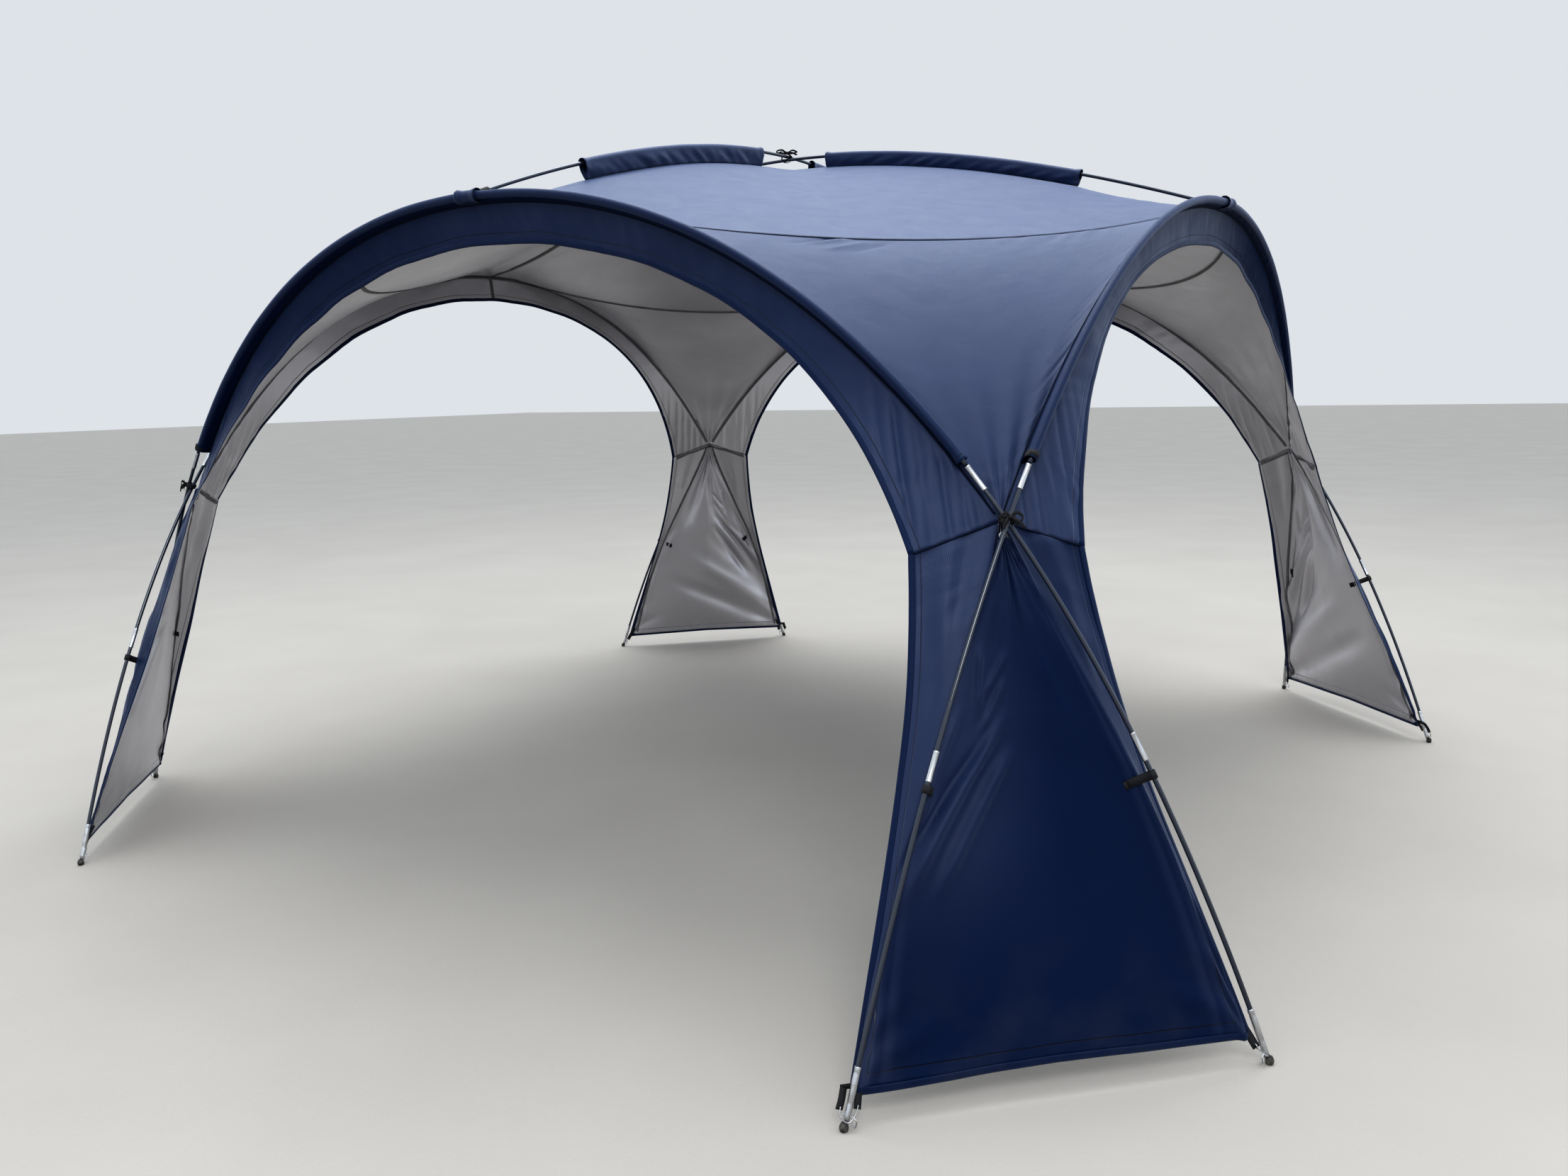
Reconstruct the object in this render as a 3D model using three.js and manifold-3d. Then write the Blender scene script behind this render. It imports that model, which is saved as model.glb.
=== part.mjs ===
// A dome event shelter: four bent poles stand as arches round a square, cross in pairs over each
// corner leg, and carry a sewn canopy. Two roof poles bow over the top from arch to arch.
// Millimetres, +Z up, origin on the ground at the middle. The front opening faces -Y.
import * as THREE from "three";
import { mergeVertices } from "three/addons/utils/BufferGeometryUtils.js";
import Module from "manifold-3d";

const wasm = await Module();
wasm.setup();

// Driving sizes of the pole frame
const FOOT_REACH = 2060; // from the middle of a side to each foot of its arch
const ARCH_STAND = 1395; // from the middle of the shelter to the line of an arch's feet
const ARCH_LEAN = THREE.MathUtils.degToRad(5); // each arch leans outwards
const ARCH_RISE = 1968; // height of an arch, measured along its lean
const SHOULDER_IN = 405; // how far the pole has come in where it starts to bend over
const SHOULDER_RISE = 1200;
const CROWN_HALF = 1027; // half the flat stretch over the opening that steers the bend
const ARCH_SKEW = 0.0065; // sideways slope of an arch, so that one pole passes outside the other
const ROOF_TOP = 2262; // centre line of the roof poles at the middle

// Driving sizes of the rods
const ROD_RADIUS = 5.5;
const FERRULE_RADIUS = 6.5;
const FOOT_RADIUS = 8;
const FOOT_HEIGHT = 20;
const FOOT_TUBE_END = 127; // all of these are distances along the pole from the ground
const LOWER_FERRULE = [700, 766];
const UPPER_FERRULE = [1370, 1436];
const FOOT_LOOP_AT = 92;
const LEG_STRAP_AT = 668;
const SLEEVE_START = 1450;
const APEX_BARE_HALF = 22; // half the bare stretch between the two sleeves of an arch

// Driving sizes of the cloth
const CLOTH = 4; // thickness of every sheet of cloth
const SEAM_GAP = 2; // between sheets that are sewn edge to edge
const SLEEVE_DROP = 30; // from the pole down to the edge of the cloth, inside a sleeve
const TIE_DROP = 25; // the same at the corner tie
const FIN_HEIGHT = 45; // from a roof pole down to the roof cloth
const FIN_FROM = 170; // reach of a roof sleeve from the middle of the roof
const FIN_TO = 1110;
const ROOF_CORNER = 150; // half the width of a corner of the roof sheet, along its arch
const SLEEVE_RADIUS = 9;
const SLEEVE_BORE = 7.2;
const HOLD_WIDTH = 25; // webbing that holds the cloth to the poles
const HOLD_THICKNESS = 2.5;
const STRAP_EASE = 1.8; // room between a rod and the webbing round it
const TIE_HEIGHT = 12;

const GAP = 0.4; // between pieces that touch
const ROD_SIDES = 6;
const SLEEVE_STEPS = 10;

const INSIDE = new THREE.Vector3(0, 0, 600); // cloth gets its thickness away from this point
const UP = new THREE.Vector3(0, 0, 1);
const SIDES = ["front", "right", "back", "left"];
const CORNERS = ["front_right", "back_right", "back_left", "front_left"];

const cloth = (color) => new THREE.MeshStandardMaterial({ color, roughness: 0.72, metalness: 0 });
const navy = cloth(0x39415f);
const rodFinish = new THREE.MeshStandardMaterial({ color: 0x17191d, roughness: 0.35, metalness: 0.1 });
const webbing = cloth(0x131417);
const steel = new THREE.MeshStandardMaterial({ color: 0xa9b0b3, roughness: 0.35, metalness: 1 });

// The front arch's right half as a curve from the foot to the apex
const onArchPlane = (along, rise) =>
  new THREE.Vector3(along, -(ARCH_STAND + rise * Math.sin(ARCH_LEAN)), rise * Math.cos(ARCH_LEAN));
const archHalf = new THREE.CubicBezierCurve3(
  onArchPlane(FOOT_REACH, 0),
  onArchPlane(FOOT_REACH - SHOULDER_IN, SHOULDER_RISE),
  onArchPlane(CROWN_HALF, ARCH_RISE),
  onArchPlane(0, ARCH_RISE),
);
archHalf.arcLengthDivisions = 800;
const HALF = archHalf.getLength();
const ARCH_NORMAL = new THREE.Vector3(0, -Math.cos(ARCH_LEAN), -Math.sin(ARCH_LEAN));

// A point of the front arch, by the distance along the pole from its right foot
function archPoint(distance) {
  const left = distance > HALF;
  const point = archHalf.getPointAt((left ? 2 * HALF - distance : distance) / HALF);
  if (left) point.x = -point.x;
  return point;
}
function polePoint(distance) {
  const point = archPoint(distance);
  point.y += ARCH_SKEW * point.x;
  return point;
}

// The value up to which a test holds, found by halving
function lastWhere(holds, from, to) {
  let [low, high] = [from, to];
  const halvings = 30;
  for (let i = 0; i < halvings; i += 1) {
    const middle = (low + high) / 2;
    if (holds(middle)) low = middle;
    else high = middle;
  }
  return low;
}

// Where the arches cross: the distance at which the front arch meets the corner's diagonal
const CROSSING = lastWhere((distance) => archPoint(distance).x + archPoint(distance).y > 0, 0, HALF);

// Distances at which rods, sleeves and cloth edges share their bends, from the apex to the crossing
const sleeveMarks = Array.from({ length: SLEEVE_STEPS + 1 }, (_, i) =>
  THREE.MathUtils.lerp(HALF - ROOF_CORNER, SLEEVE_START, i / SLEEVE_STEPS));
const edgeMarks = [HALF, HALF - APEX_BARE_HALF, ...sleeveMarks, 1380, 1320, CROSSING];
const CORNER_START = 2; // index of the mark where the roof seam meets the arch

// A roof pole's height by its reach from the middle of the roof
const ROOF_REACH = 1535;
const roofHalf = new THREE.CubicBezierCurve3(
  new THREE.Vector3(0, 0, ROOF_TOP),
  new THREE.Vector3(0, -520, ROOF_TOP),
  new THREE.Vector3(0, -1050, 2135),
  new THREE.Vector3(0, -ROOF_REACH, 1964),
);
roofHalf.arcLengthDivisions = 400;
const ROOF_HALF = roofHalf.getLength();
function roofPoint(distance) {
  const point = roofHalf.getPointAt(Math.min(1, Math.abs(distance) / ROOF_HALF));
  if (distance < 0) point.y = -point.y;
  return point;
}
const roofDistance = (reach) => lastWhere((distance) => -roofPoint(distance).y < reach, 0, ROOF_HALF);

// Moves every vertex of a geometry to the place that a function gives for it
function relay(geometry, place) {
  const positions = geometry.attributes.position;
  for (let i = 0; i < positions.count; i += 1) {
    const at = place(positions.getX(i), positions.getY(i), positions.getZ(i));
    positions.setXYZ(i, at.x, at.y, at.z);
  }
  geometry.computeVertexNormals();
  return geometry;
}

function tangentAt(pointAt, distance) {
  const step = 0.5;
  return pointAt(distance + step).sub(pointAt(distance - step)).normalize();
}

// A rod turned from a profile of [distance, radius] pairs and bent along a pole's centre line
function bentRod(profile, pointAt, flatNormal) {
  const outline = profile.map(([distance, radius]) => new THREE.Vector2(radius, distance));
  const turned = new THREE.LatheGeometry(outline, ROD_SIDES);
  return relay(turned, (x, distance, z) => {
    const along = tangentAt(pointAt, distance);
    const side = flatNormal.clone().addScaledVector(along, -flatNormal.dot(along)).normalize();
    const across = side.clone().cross(along);
    return pointAt(distance).addScaledVector(side, x).addScaledVector(across, z);
  });
}

function between(from, to, largestStep) {
  const count = Math.max(1, Math.ceil((to - from) / largestStep));
  return Array.from({ length: count - 1 }, (_, i) => from + ((to - from) * (i + 1)) / count);
}

// One leg's rods with the two ferrules that join them, in one turned profile
function legPoleProfile() {
  const plain = (from, to) => between(from, to, 200).map((distance) => [distance, ROD_RADIUS]);
  const collar = ([from, to]) => [
    [from, ROD_RADIUS], [from, FERRULE_RADIUS], [to, FERRULE_RADIUS], [to, ROD_RADIUS],
  ];
  const start = FOOT_TUBE_END + GAP;
  return [
    [start, 0], [start, ROD_RADIUS],
    ...plain(start, LOWER_FERRULE[0]), ...collar(LOWER_FERRULE),
    ...plain(LOWER_FERRULE[1], UPPER_FERRULE[0]),
    ...collar(UPPER_FERRULE).slice(0, 3), [UPPER_FERRULE[1], 0],
  ];
}

// A steel tube that takes the end of a leg's rod, on a rubber foot that stands on the ground
function footProfile() {
  const sole = FOOT_RADIUS * 0.8;
  return [
    [0, 0], [0, sole], [FOOT_HEIGHT * 0.3, FOOT_RADIUS], [FOOT_HEIGHT * 0.7, FOOT_RADIUS],
    [FOOT_HEIGHT, FERRULE_RADIUS], [FOOT_TUBE_END, FERRULE_RADIUS], [FOOT_TUBE_END, 0],
  ];
}

// A profile bent along a leg, standing flat: its lowest ring is level, and the rings above turn
// square to the pole
function legPiece(profile, mirrored) {
  const pointAt = mirrored ? (d) => polePoint(2 * HALF - d) : polePoint;
  const outline = profile.map(([distance, radius]) => new THREE.Vector2(radius, distance));
  const turned = new THREE.LatheGeometry(outline, ROD_SIDES);
  return relay(turned, (x, distance, z) => {
    const along = tangentAt(pointAt, Math.max(distance, 1));
    along.lerp(UP, Math.max(0, 1 - distance / FOOT_HEIGHT)).normalize();
    const side = ARCH_NORMAL.clone().addScaledVector(along, -ARCH_NORMAL.dot(along)).normalize();
    const across = side.clone().cross(along);
    return pointAt(distance).addScaledVector(side, x).addScaledVector(across, z);
  });
}

// The stretch of an arch pole that runs through its two sleeves
function bowPole() {
  const inSleeve = [...edgeMarks.slice(1, 2), ...sleeveMarks];
  const rightHalf = [...inSleeve].reverse();
  const leftHalf = inSleeve.map((distance) => 2 * HALF - distance);
  const ends = [UPPER_FERRULE[1] + GAP, 2 * HALF - UPPER_FERRULE[1] - GAP];
  const marks = [ends[0], ...rightHalf, HALF, ...leftHalf, ends[1]];
  const profile = [[marks[0], 0], ...marks.map((d) => [d, ROD_RADIUS]), [marks.at(-1), 0]];
  return bentRod(profile, polePoint, ARCH_NORMAL);
}

// A roof pole from arch to arch, lifted or lowered so that the two pass each other at the top
function roofPole(lift) {
  const end = ROOF_HALF;
  const finMarks = [roofDistance(FIN_FROM), ...finSteps(), roofDistance(FIN_TO)];
  const half = [...finMarks, (roofDistance(FIN_TO) + end) / 2, end];
  const marks = [...[...half].reverse().map((d) => -d), 0, ...half];
  const profile = [[marks[0], 0], ...marks.map((d) => [d, ROD_RADIUS]), [marks.at(-1), 0]];
  const pointAt = (distance) => roofPoint(distance).add(new THREE.Vector3(0, 0, lift));
  return bentRod(profile, pointAt, new THREE.Vector3(1, 0, 0));
}
const FIN_STEPS = 5;
function finSteps() {
  const [from, to] = [roofDistance(FIN_FROM), roofDistance(FIN_TO)];
  return Array.from({ length: FIN_STEPS - 1 }, (_, i) => from + ((to - from) * (i + 1)) / FIN_STEPS);
}

// The opening's hem, right half, from the apex to the waist seam
const hemHalf = new THREE.CubicBezierCurve3(
  new THREE.Vector3(0, -1526, 1843),
  new THREE.Vector3(422, -1526, 1843),
  new THREE.Vector3(1025, -1462, 1694),
  new THREE.Vector3(1331, -1610, 1081),
);
hemHalf.arcLengthDivisions = 400;

const outwards = (point) => point.clone().sub(INSIDE).normalize();
const mirrorX = (point) => new THREE.Vector3(-point.x, point.y, point.z);
const acrossCorner = (point) => new THREE.Vector3(-point.y, -point.x, point.z);

// The line under the front arch where hood, corner and roof sheets meet
function clothEdge(distance) {
  const point = archPoint(distance);
  const fromFoot = Math.min(distance, 2 * HALF - distance);
  const share = THREE.MathUtils.smoothstep(fromFoot, CROSSING, SLEEVE_START);
  return point.addScaledVector(outwards(point), -THREE.MathUtils.lerp(TIE_DROP, SLEEVE_DROP, share));
}

// The hood strip between the pole and the opening: down is 0 at the sleeve and 1 at the hem
function hoodPoint(distance, down) {
  const share = Math.min(1, Math.abs(HALF - distance) / (HALF - CROSSING));
  const hem = hemHalf.getPointAt(share);
  if (distance > HALF) hem.x = -hem.x;
  return clothEdge(distance).lerp(hem, down);
}

// A sheet of cloth: a slab in u by v divisions, laid on a surface and thickened outwards
function sheet(surface, uCount, vCount) {
  const slab = new THREE.BoxGeometry(1, 1, 1, uCount, vCount, 1);
  return relay(slab, (x, y, z) => {
    const point = surface(x + 0.5, y + 0.5);
    return point.addScaledVector(outwards(point), z * CLOTH);
  });
}

// A point a little inside a line, so that neighbouring sheets keep their seam gap
function inset(share, length, start, end) {
  return THREE.MathUtils.lerp(start ? SEAM_GAP / 2 / length : 0, 1 - (end ? SEAM_GAP / 2 / length : 0), share);
}

function markAt(marks, share) {
  return marks[Math.round(share * (marks.length - 1))];
}

// A hood, from one waist seam over the apex to the other
function hoodSheet() {
  const right = [...edgeMarks];
  right[right.length - 1] += SEAM_GAP;
  const marks = [...right.map((distance) => 2 * HALF - distance).reverse(), ...right.slice(1)];
  return sheet((down, along) => {
    const distance = markAt(marks, along);
    const width = hoodPoint(distance, 0).distanceTo(hoodPoint(distance, 1));
    return hoodPoint(distance, inset(down, width, true, false));
  }, 2, marks.length - 1);
}

// A pole sleeve: a thin tube round the pole whose lower side is drawn down to the cloth
function sleeve(marks, pointAt, seamAt) {
  const outer = marks.map((d) => new THREE.Vector2(SLEEVE_RADIUS, d));
  const inner = [...marks].reverse().map((d) => new THREE.Vector2(SLEEVE_BORE, d));
  const profile = [...outer, ...inner, outer[0].clone()];
  const ring = new THREE.LatheGeometry(profile, ROD_SIDES);
  const halfway = (SLEEVE_RADIUS + SLEEVE_BORE) / 2;
  return relay(ring, (x, distance, z) => {
    const along = tangentAt(pointAt, distance);
    const centre = pointAt(distance);
    const down = seamAt(distance).sub(centre);
    down.addScaledVector(along, -down.dot(along)).normalize();
    const side = along.clone().cross(down);
    const seam = Math.hypot(x, z) > halfway && z > SLEEVE_RADIUS * 0.99;
    return seam ? seamAt(distance) : centre.addScaledVector(side, x).addScaledVector(down, z);
  });
}

function solidOf(geometry) {
  const bare = geometry.clone();
  bare.deleteAttribute("normal");
  bare.deleteAttribute("uv");
  const merged = mergeVertices(bare, 1e-3);
  return new wasm.Manifold(new wasm.Mesh({
    numProp: 3,
    vertProperties: merged.attributes.position.array,
    triVerts: new Uint32Array(merged.index.array),
  }));
}

function joined(first, ...others) {
  const whole = others.reduce((sum, geometry) => sum.add(solidOf(geometry)), solidOf(first));
  const { vertProperties, triVerts } = whole.getMesh();
  const geometry = new THREE.BufferGeometry();
  geometry.setAttribute("position", new THREE.BufferAttribute(vertProperties, 3));
  geometry.setIndex(new THREE.BufferAttribute(triVerts, 1));
  geometry.computeVertexNormals();
  return geometry;
}

// A hood with its two sleeves sewn on, one each side of the apex
function hood() {
  const seamInset = 5.5;
  const seamAt = (distance) => {
    const width = hoodPoint(distance, 0).distanceTo(hoodPoint(distance, 1));
    return hoodPoint(distance, seamInset / width);
  };
  const rightMarks = [...edgeMarks.slice(1, 2), ...sleeveMarks].reverse();
  const leftMarks = rightMarks.map((distance) => 2 * HALF - distance).reverse();
  return joined(hoodSheet(), sleeve(rightMarks, polePoint, seamAt), sleeve(leftMarks, polePoint, seamAt));
}

// The middle line of a corner sheet, down the diagonal from the roof seam to the tie
const onDiagonal = (reach, height) => new THREE.Vector3(reach / Math.SQRT2, -reach / Math.SQRT2, height);
const tiePoint = clothEdge(CROSSING);
const valley = new THREE.CubicBezierCurve3(
  onDiagonal(1501, 1805),
  onDiagonal(1722, 1700),
  onDiagonal(1955, 1440),
  tiePoint,
);
valley.arcLengthDivisions = 200;

// The corner sheet hangs like a hammock between the two arches: across runs from -1 to 1
function cornerPoint(distance, across) {
  const share = (HALF - ROOF_CORNER - distance) / (HALF - ROOF_CORNER - CROSSING);
  const one = clothEdge(distance);
  const other = acrossCorner(one);
  const middle = one.clone().add(other).multiplyScalar(0.5);
  const sag = valley.getPointAt(share).sub(middle);
  const halfSpan = other.sub(one).multiplyScalar(0.5);
  return middle.addScaledVector(halfSpan, across).addScaledVector(sag, 1 - across * across);
}

const CORNER_ACROSS = 8;
function cornerSheet() {
  const marks = edgeMarks.slice(CORNER_START, -1);
  marks[0] -= SEAM_GAP / 2;
  return sheet((across, up) => {
    const distance = markAt(marks, 1 - up);
    const span = clothEdge(distance).distanceTo(acrossCorner(clothEdge(distance)));
    return cornerPoint(distance, inset(across, span, true, true) * 2 - 1);
  }, CORNER_ACROSS, marks.length - 1);
}

// The leg sheet: a trapezium from the waist seam to the ground, creased below the tie.
// Its middle, crease and edge columns are given as [sideways, outwards, height] at rows going down.
const onLeg = (sideways, reach, height) => new THREE.Vector3(
  (reach + sideways) / Math.SQRT2, (sideways - reach) / Math.SQRT2, height);
const LEG_ROWS = 6;
const waistEnd = acrossCorner(hemHalf.getPointAt(1));
const creaseStart = tiePoint.clone().lerp(waistEnd, 0.03);
const legColumn = (top, rows) => new THREE.CatmullRomCurve3([top, ...rows.map((row) => onLeg(...row))]);
const legEdge = legColumn(waistEnd,
  [[208, 2116, 970], [235, 2176, 790], [275, 2232, 620], [346, 2322, 370], [434, 2421, 66]]);
const legCrease = legColumn(creaseStart,
  [[60, 2150, 1010], [150, 2212, 815], [240, 2266, 620], [328, 2335, 370], [404, 2421, 67]]);
const legMiddle = legColumn(tiePoint,
  [[0, 2146, 1012], [0, 2200, 815], [0, 2250, 620], [0, 2326, 370], [0, 2423, 74]]);

const CREASE_SHARE = 0.75; // where a sheet's creases are, from its middle to its edges
const STRAP_SHARE = 0.65; // where the straps and the foot loops are sewn on
const LOOP_SHARE = 0.88;
function legPoint(across, down) {
  const side = Math.abs(across);
  const inner = side < CREASE_SHARE;
  const [from, to] = inner ? [legMiddle, legCrease] : [legCrease, legEdge];
  const share = inner ? side / CREASE_SHARE : (side - CREASE_SHARE) / (1 - CREASE_SHARE);
  const point = from.getPoint(down).lerp(to.getPoint(down), share);
  return across < 0 ? acrossCorner(point) : point;
}

const LEG_ACROSS = 8;
function legSheet() {
  const height = tiePoint.z;
  return sheet((across, up) => legPoint(across * 2 - 1, inset(1 - up, height, true, false)),
    LEG_ACROSS, LEG_ROWS);
}

// Webbing seen along the pole: a loop round it and a tail to the cloth
function webbingLoop(radius, tail) {
  const wall = radius + HOLD_THICKNESS;
  const half = HOLD_THICKNESS / 2;
  const turn = Math.asin(half / wall);
  const outline = new THREE.Shape();
  outline.moveTo(tail, -half);
  outline.lineTo(tail, half);
  outline.absarc(0, 0, wall, turn, 2 * Math.PI - turn, false);
  outline.closePath();
  const bore = new THREE.Path();
  bore.absarc(0, 0, radius, 0, 2 * Math.PI, true);
  outline.holes.push(bore);
  const band = new THREE.ExtrudeGeometry(outline, { depth: HOLD_WIDTH, bevelEnabled: false, curveSegments: 6 });
  band.translate(0, 0, -HOLD_WIDTH / 2);
  return band;
}

// Puts a webbing loop on a leg's pole, its tail turned towards a point of the cloth
function hold(pointAt, distance, radius, target) {
  const centre = pointAt(distance);
  const along = tangentAt(pointAt, distance);
  const towards = target.clone().sub(centre);
  towards.addScaledVector(along, -towards.dot(along));
  const reach = towards.length();
  towards.normalize();
  const across = along.clone().cross(towards);
  const turn = new THREE.Matrix4().makeBasis(towards, across, along).setPosition(centre);
  return webbingLoop(radius, reach).applyMatrix4(turn);
}

// A corner's two poles: the front arch's right leg, and the next arch's left leg beside it
function cornerPole(across) {
  if (across > 0) return polePoint;
  return (distance) => polePoint(2 * HALF - distance).applyAxisAngle(UP, Math.PI / 2);
}

// Webbing from a point of the leg sheet round a leg's pole, at the same height
function legHold(distance, radius, across) {
  const pointAt = cornerPole(across);
  const height = pointAt(distance).z;
  const down = lastWhere((share) => legPoint(across, share).z > height, 0, 1);
  return hold(pointAt, distance, radius + STRAP_EASE, legPoint(across, down));
}

// A leg sheet with the straps sewn on beside its creases and the loops near its lower corners
function strappedLegSheet() {
  const holds = [1, -1].flatMap((across) => [
    legHold(LEG_STRAP_AT, ROD_RADIUS, STRAP_SHARE * across),
    legHold(FOOT_LOOP_AT, FERRULE_RADIUS, LOOP_SHARE * across),
  ]);
  return joined(legSheet(), ...holds);
}

// The ribbon tied round both poles where they cross, with the two loops of its bow
function cornerTie() {
  const deep = 2 * ROD_RADIUS + 3;
  const wide = 17;
  const ribbon = 2;
  const bow = 26;
  const outline = new THREE.Shape();
  outline.absellipse(0, 0, wide + ribbon, deep + ribbon, 0, 2 * Math.PI, false);
  const bore = new THREE.Path();
  bore.absellipse(0, 0, wide, deep, 0, 2 * Math.PI, true);
  outline.holes.push(bore);
  const options = { depth: TIE_HEIGHT, bevelEnabled: false, curveSegments: 6 };
  const band = new THREE.ExtrudeGeometry(outline, options);
  const bowOutline = new THREE.Shape();
  bowOutline.absellipse(0, deep + ribbon + 2, bow, 3.5, 0, 2 * Math.PI, false);
  const loops = new THREE.ExtrudeGeometry(bowOutline, options);
  const tie = joined(band, loops);
  const along = new THREE.Vector3(-0.2906, 0.2906, 0.912).normalize();
  const sideways = new THREE.Vector3(1, 1, 0).normalize();
  const out = along.clone().cross(sideways);
  const outerPole = polePoint(2 * HALF - CROSSING).applyAxisAngle(UP, Math.PI / 2);
  const crossing = polePoint(CROSSING).lerp(outerPole, 0.5);
  const turn = new THREE.Matrix4().makeBasis(sideways, out, along).setPosition(crossing);
  return tie.translate(0, 0, -TIE_HEIGHT / 2).applyMatrix4(turn);
}

// The ribbon round both roof poles where they cross
function roofTie() {
  const [wide, deep, ribbon] = [20, 2 * ROD_RADIUS + 3, 2];
  const band = new THREE.Shape();
  band.absellipse(0, 0, wide + ribbon, deep + ribbon, 0, 2 * Math.PI, false);
  const bore = new THREE.Path();
  bore.absellipse(0, 0, wide, deep, 0, 2 * Math.PI, true);
  band.holes.push(bore);
  const ring = new THREE.ExtrudeGeometry(band, { depth: TIE_HEIGHT, bevelEnabled: false, curveSegments: 6 });
  const turn = new THREE.Matrix4().makeBasis(
    new THREE.Vector3(1, 1, 0).normalize(), UP, new THREE.Vector3(1, -1, 0).normalize());
  return ring.translate(0, 0, -TIE_HEIGHT / 2).applyMatrix4(turn.setPosition(0, 0, ROOF_TOP));
}

// The pocket behind an arch's apex that the end of a roof pole sits in
function apexPocket(lift) {
  const [wall, depth, floor] = [2, 45, 3];
  const bore = ROD_RADIUS / Math.cos(Math.PI / ROD_SIDES) + GAP;
  const profile = [[0, 0], [bore + wall, 0], [bore + wall, depth], [bore, depth], [bore, floor], [0, floor]];
  const cup = new THREE.LatheGeometry(profile.map(([r, h]) => new THREE.Vector2(r, h)), ROD_SIDES);
  const pointAt = (d) => roofPoint(d).add(new THREE.Vector3(0, 0, lift));
  const inwards = tangentAt(roofPoint, ROOF_HALF - 1).negate();
  const side = new THREE.Vector3(1, 0, 0);
  const turn = new THREE.Matrix4().makeBasis(side.clone().negate(), inwards, side.clone().negate().cross(inwards));
  const foot = pointAt(ROOF_HALF).addScaledVector(inwards, -(floor + GAP));
  return cup.applyMatrix4(turn.setPosition(foot));
}

// The roof sheet: its edge runs along the four roof seams and a short stretch of each arch
const ROOF_CENTRE = ROOF_TOP - FIN_HEIGHT;
const ROOF_SECTORS = CORNER_ACROSS + 2 * CORNER_START;
const ROOF_RINGS = 6;
function roofEdgePoint(sector) {
  const quarter = Math.floor(sector / ROOF_SECTORS);
  const step = sector - quarter * ROOF_SECTORS;
  let point;
  if (step <= CORNER_START) point = clothEdge(edgeMarks[step]);
  else if (step >= ROOF_SECTORS - CORNER_START) {
    point = acrossCorner(clothEdge(edgeMarks[ROOF_SECTORS - step]));
  } else point = cornerPoint(edgeMarks[CORNER_START], ((step - CORNER_START) / CORNER_ACROSS) * 2 - 1);
  return point.applyAxisAngle(UP, (quarter * Math.PI) / 2);
}

// Height of the roof cloth along a ridge, under its sleeve and on to the arch
function ridgeHeight(reach) {
  if (reach <= FIN_TO) return roofPoint(roofDistance(reach)).z - FIN_HEIGHT;
  const share = (reach - FIN_TO) / (-clothEdge(HALF).y - FIN_TO);
  const from = roofPoint(roofDistance(FIN_TO)).z - FIN_HEIGHT;
  const slack = 60;
  return THREE.MathUtils.lerp(from, clothEdge(HALF).z, share) - slack * share * (1 - share);
}

function roofSurfacePoint(sector, share) {
  const edge = roofEdgePoint(sector);
  const ridgeReach = -clothEdge(HALF).y;
  const ridgeFall = (ROOF_CENTRE - ridgeHeight(share * ridgeReach)) / (ROOF_CENTRE - ridgeHeight(ridgeReach));
  const bearing = Math.atan2(edge.y, edge.x);
  const fromRidge = Math.abs(Math.sin(2 * bearing)) ** 0.8;
  const fall = THREE.MathUtils.lerp(ridgeFall, share ** 1.3, fromRidge);
  return new THREE.Vector3(edge.x * share, edge.y * share, ROOF_CENTRE - (ROOF_CENTRE - edge.z) * fall);
}

function roofSheet() {
  const rings = Array.from({ length: ROOF_RINGS + 1 }, (_, i) => i / ROOF_RINGS);
  const low = rings.map((radius) => new THREE.Vector2(radius, -0.5));
  const high = [...rings].reverse().map((radius) => new THREE.Vector2(radius, 0.5));
  const sectors = 4 * ROOF_SECTORS;
  const disc = new THREE.LatheGeometry([...low, ...high], sectors);
  const reach = 1500;
  return relay(disc, (x, layer, z) => {
    const radius = Math.hypot(x, z);
    const angle = (Math.atan2(x, z) + 2 * Math.PI) % (2 * Math.PI);
    const sector = Math.round((angle / (2 * Math.PI)) * sectors) % sectors;
    const point = roofSurfacePoint(sector, inset(radius, reach, false, true));
    return point.addScaledVector(outwards(point), layer * CLOTH);
  });
}

// A roof sleeve stands on the roof cloth like a fin
function roofFin(lift) {
  const marks = [roofDistance(FIN_FROM), ...finSteps(), roofDistance(FIN_TO)];
  const pointAt = (distance) => roofPoint(distance).add(new THREE.Vector3(0, 0, lift));
  const seamAt = (distance) => {
    const point = roofPoint(distance);
    point.z -= FIN_HEIGHT - CLOTH;
    return point;
  };
  return sleeve(marks, pointAt, seamAt);
}

// The whole shelter: a group for each side and each corner, turned a quarter at a time
const shelter = new THREE.Group();
function add(group, name, geometry, material) {
  const mesh = new THREE.Mesh(geometry, material.clone());
  mesh.name = name;
  group.add(mesh);
}

const POLE_LIFT = ROD_RADIUS + GAP;

SIDES.forEach((side, quarter) => {
  const group = new THREE.Group();
  group.rotation.z = (quarter * Math.PI) / 2;
  add(group, `${side}_arch_right_leg_pole`, legPiece(legPoleProfile(), false), rodFinish);
  add(group, `${side}_arch_left_leg_pole`, legPiece(legPoleProfile(), true), rodFinish);
  add(group, `${side}_arch_right_foot`, legPiece(footProfile(), false), steel);
  add(group, `${side}_arch_left_foot`, legPiece(footProfile(), true), steel);
  add(group, `${side}_arch_bow_pole`, bowPole(), rodFinish);
  add(group, `${side}_hood`, hood(), navy);
  const lift = quarter % 2 === 0 ? POLE_LIFT : -POLE_LIFT;
  add(group, `${side}_roof_sleeve`, roofFin(lift), navy);
  add(group, `${side}_apex_pocket`, apexPocket(lift), webbing);
  shelter.add(group);
});

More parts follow.
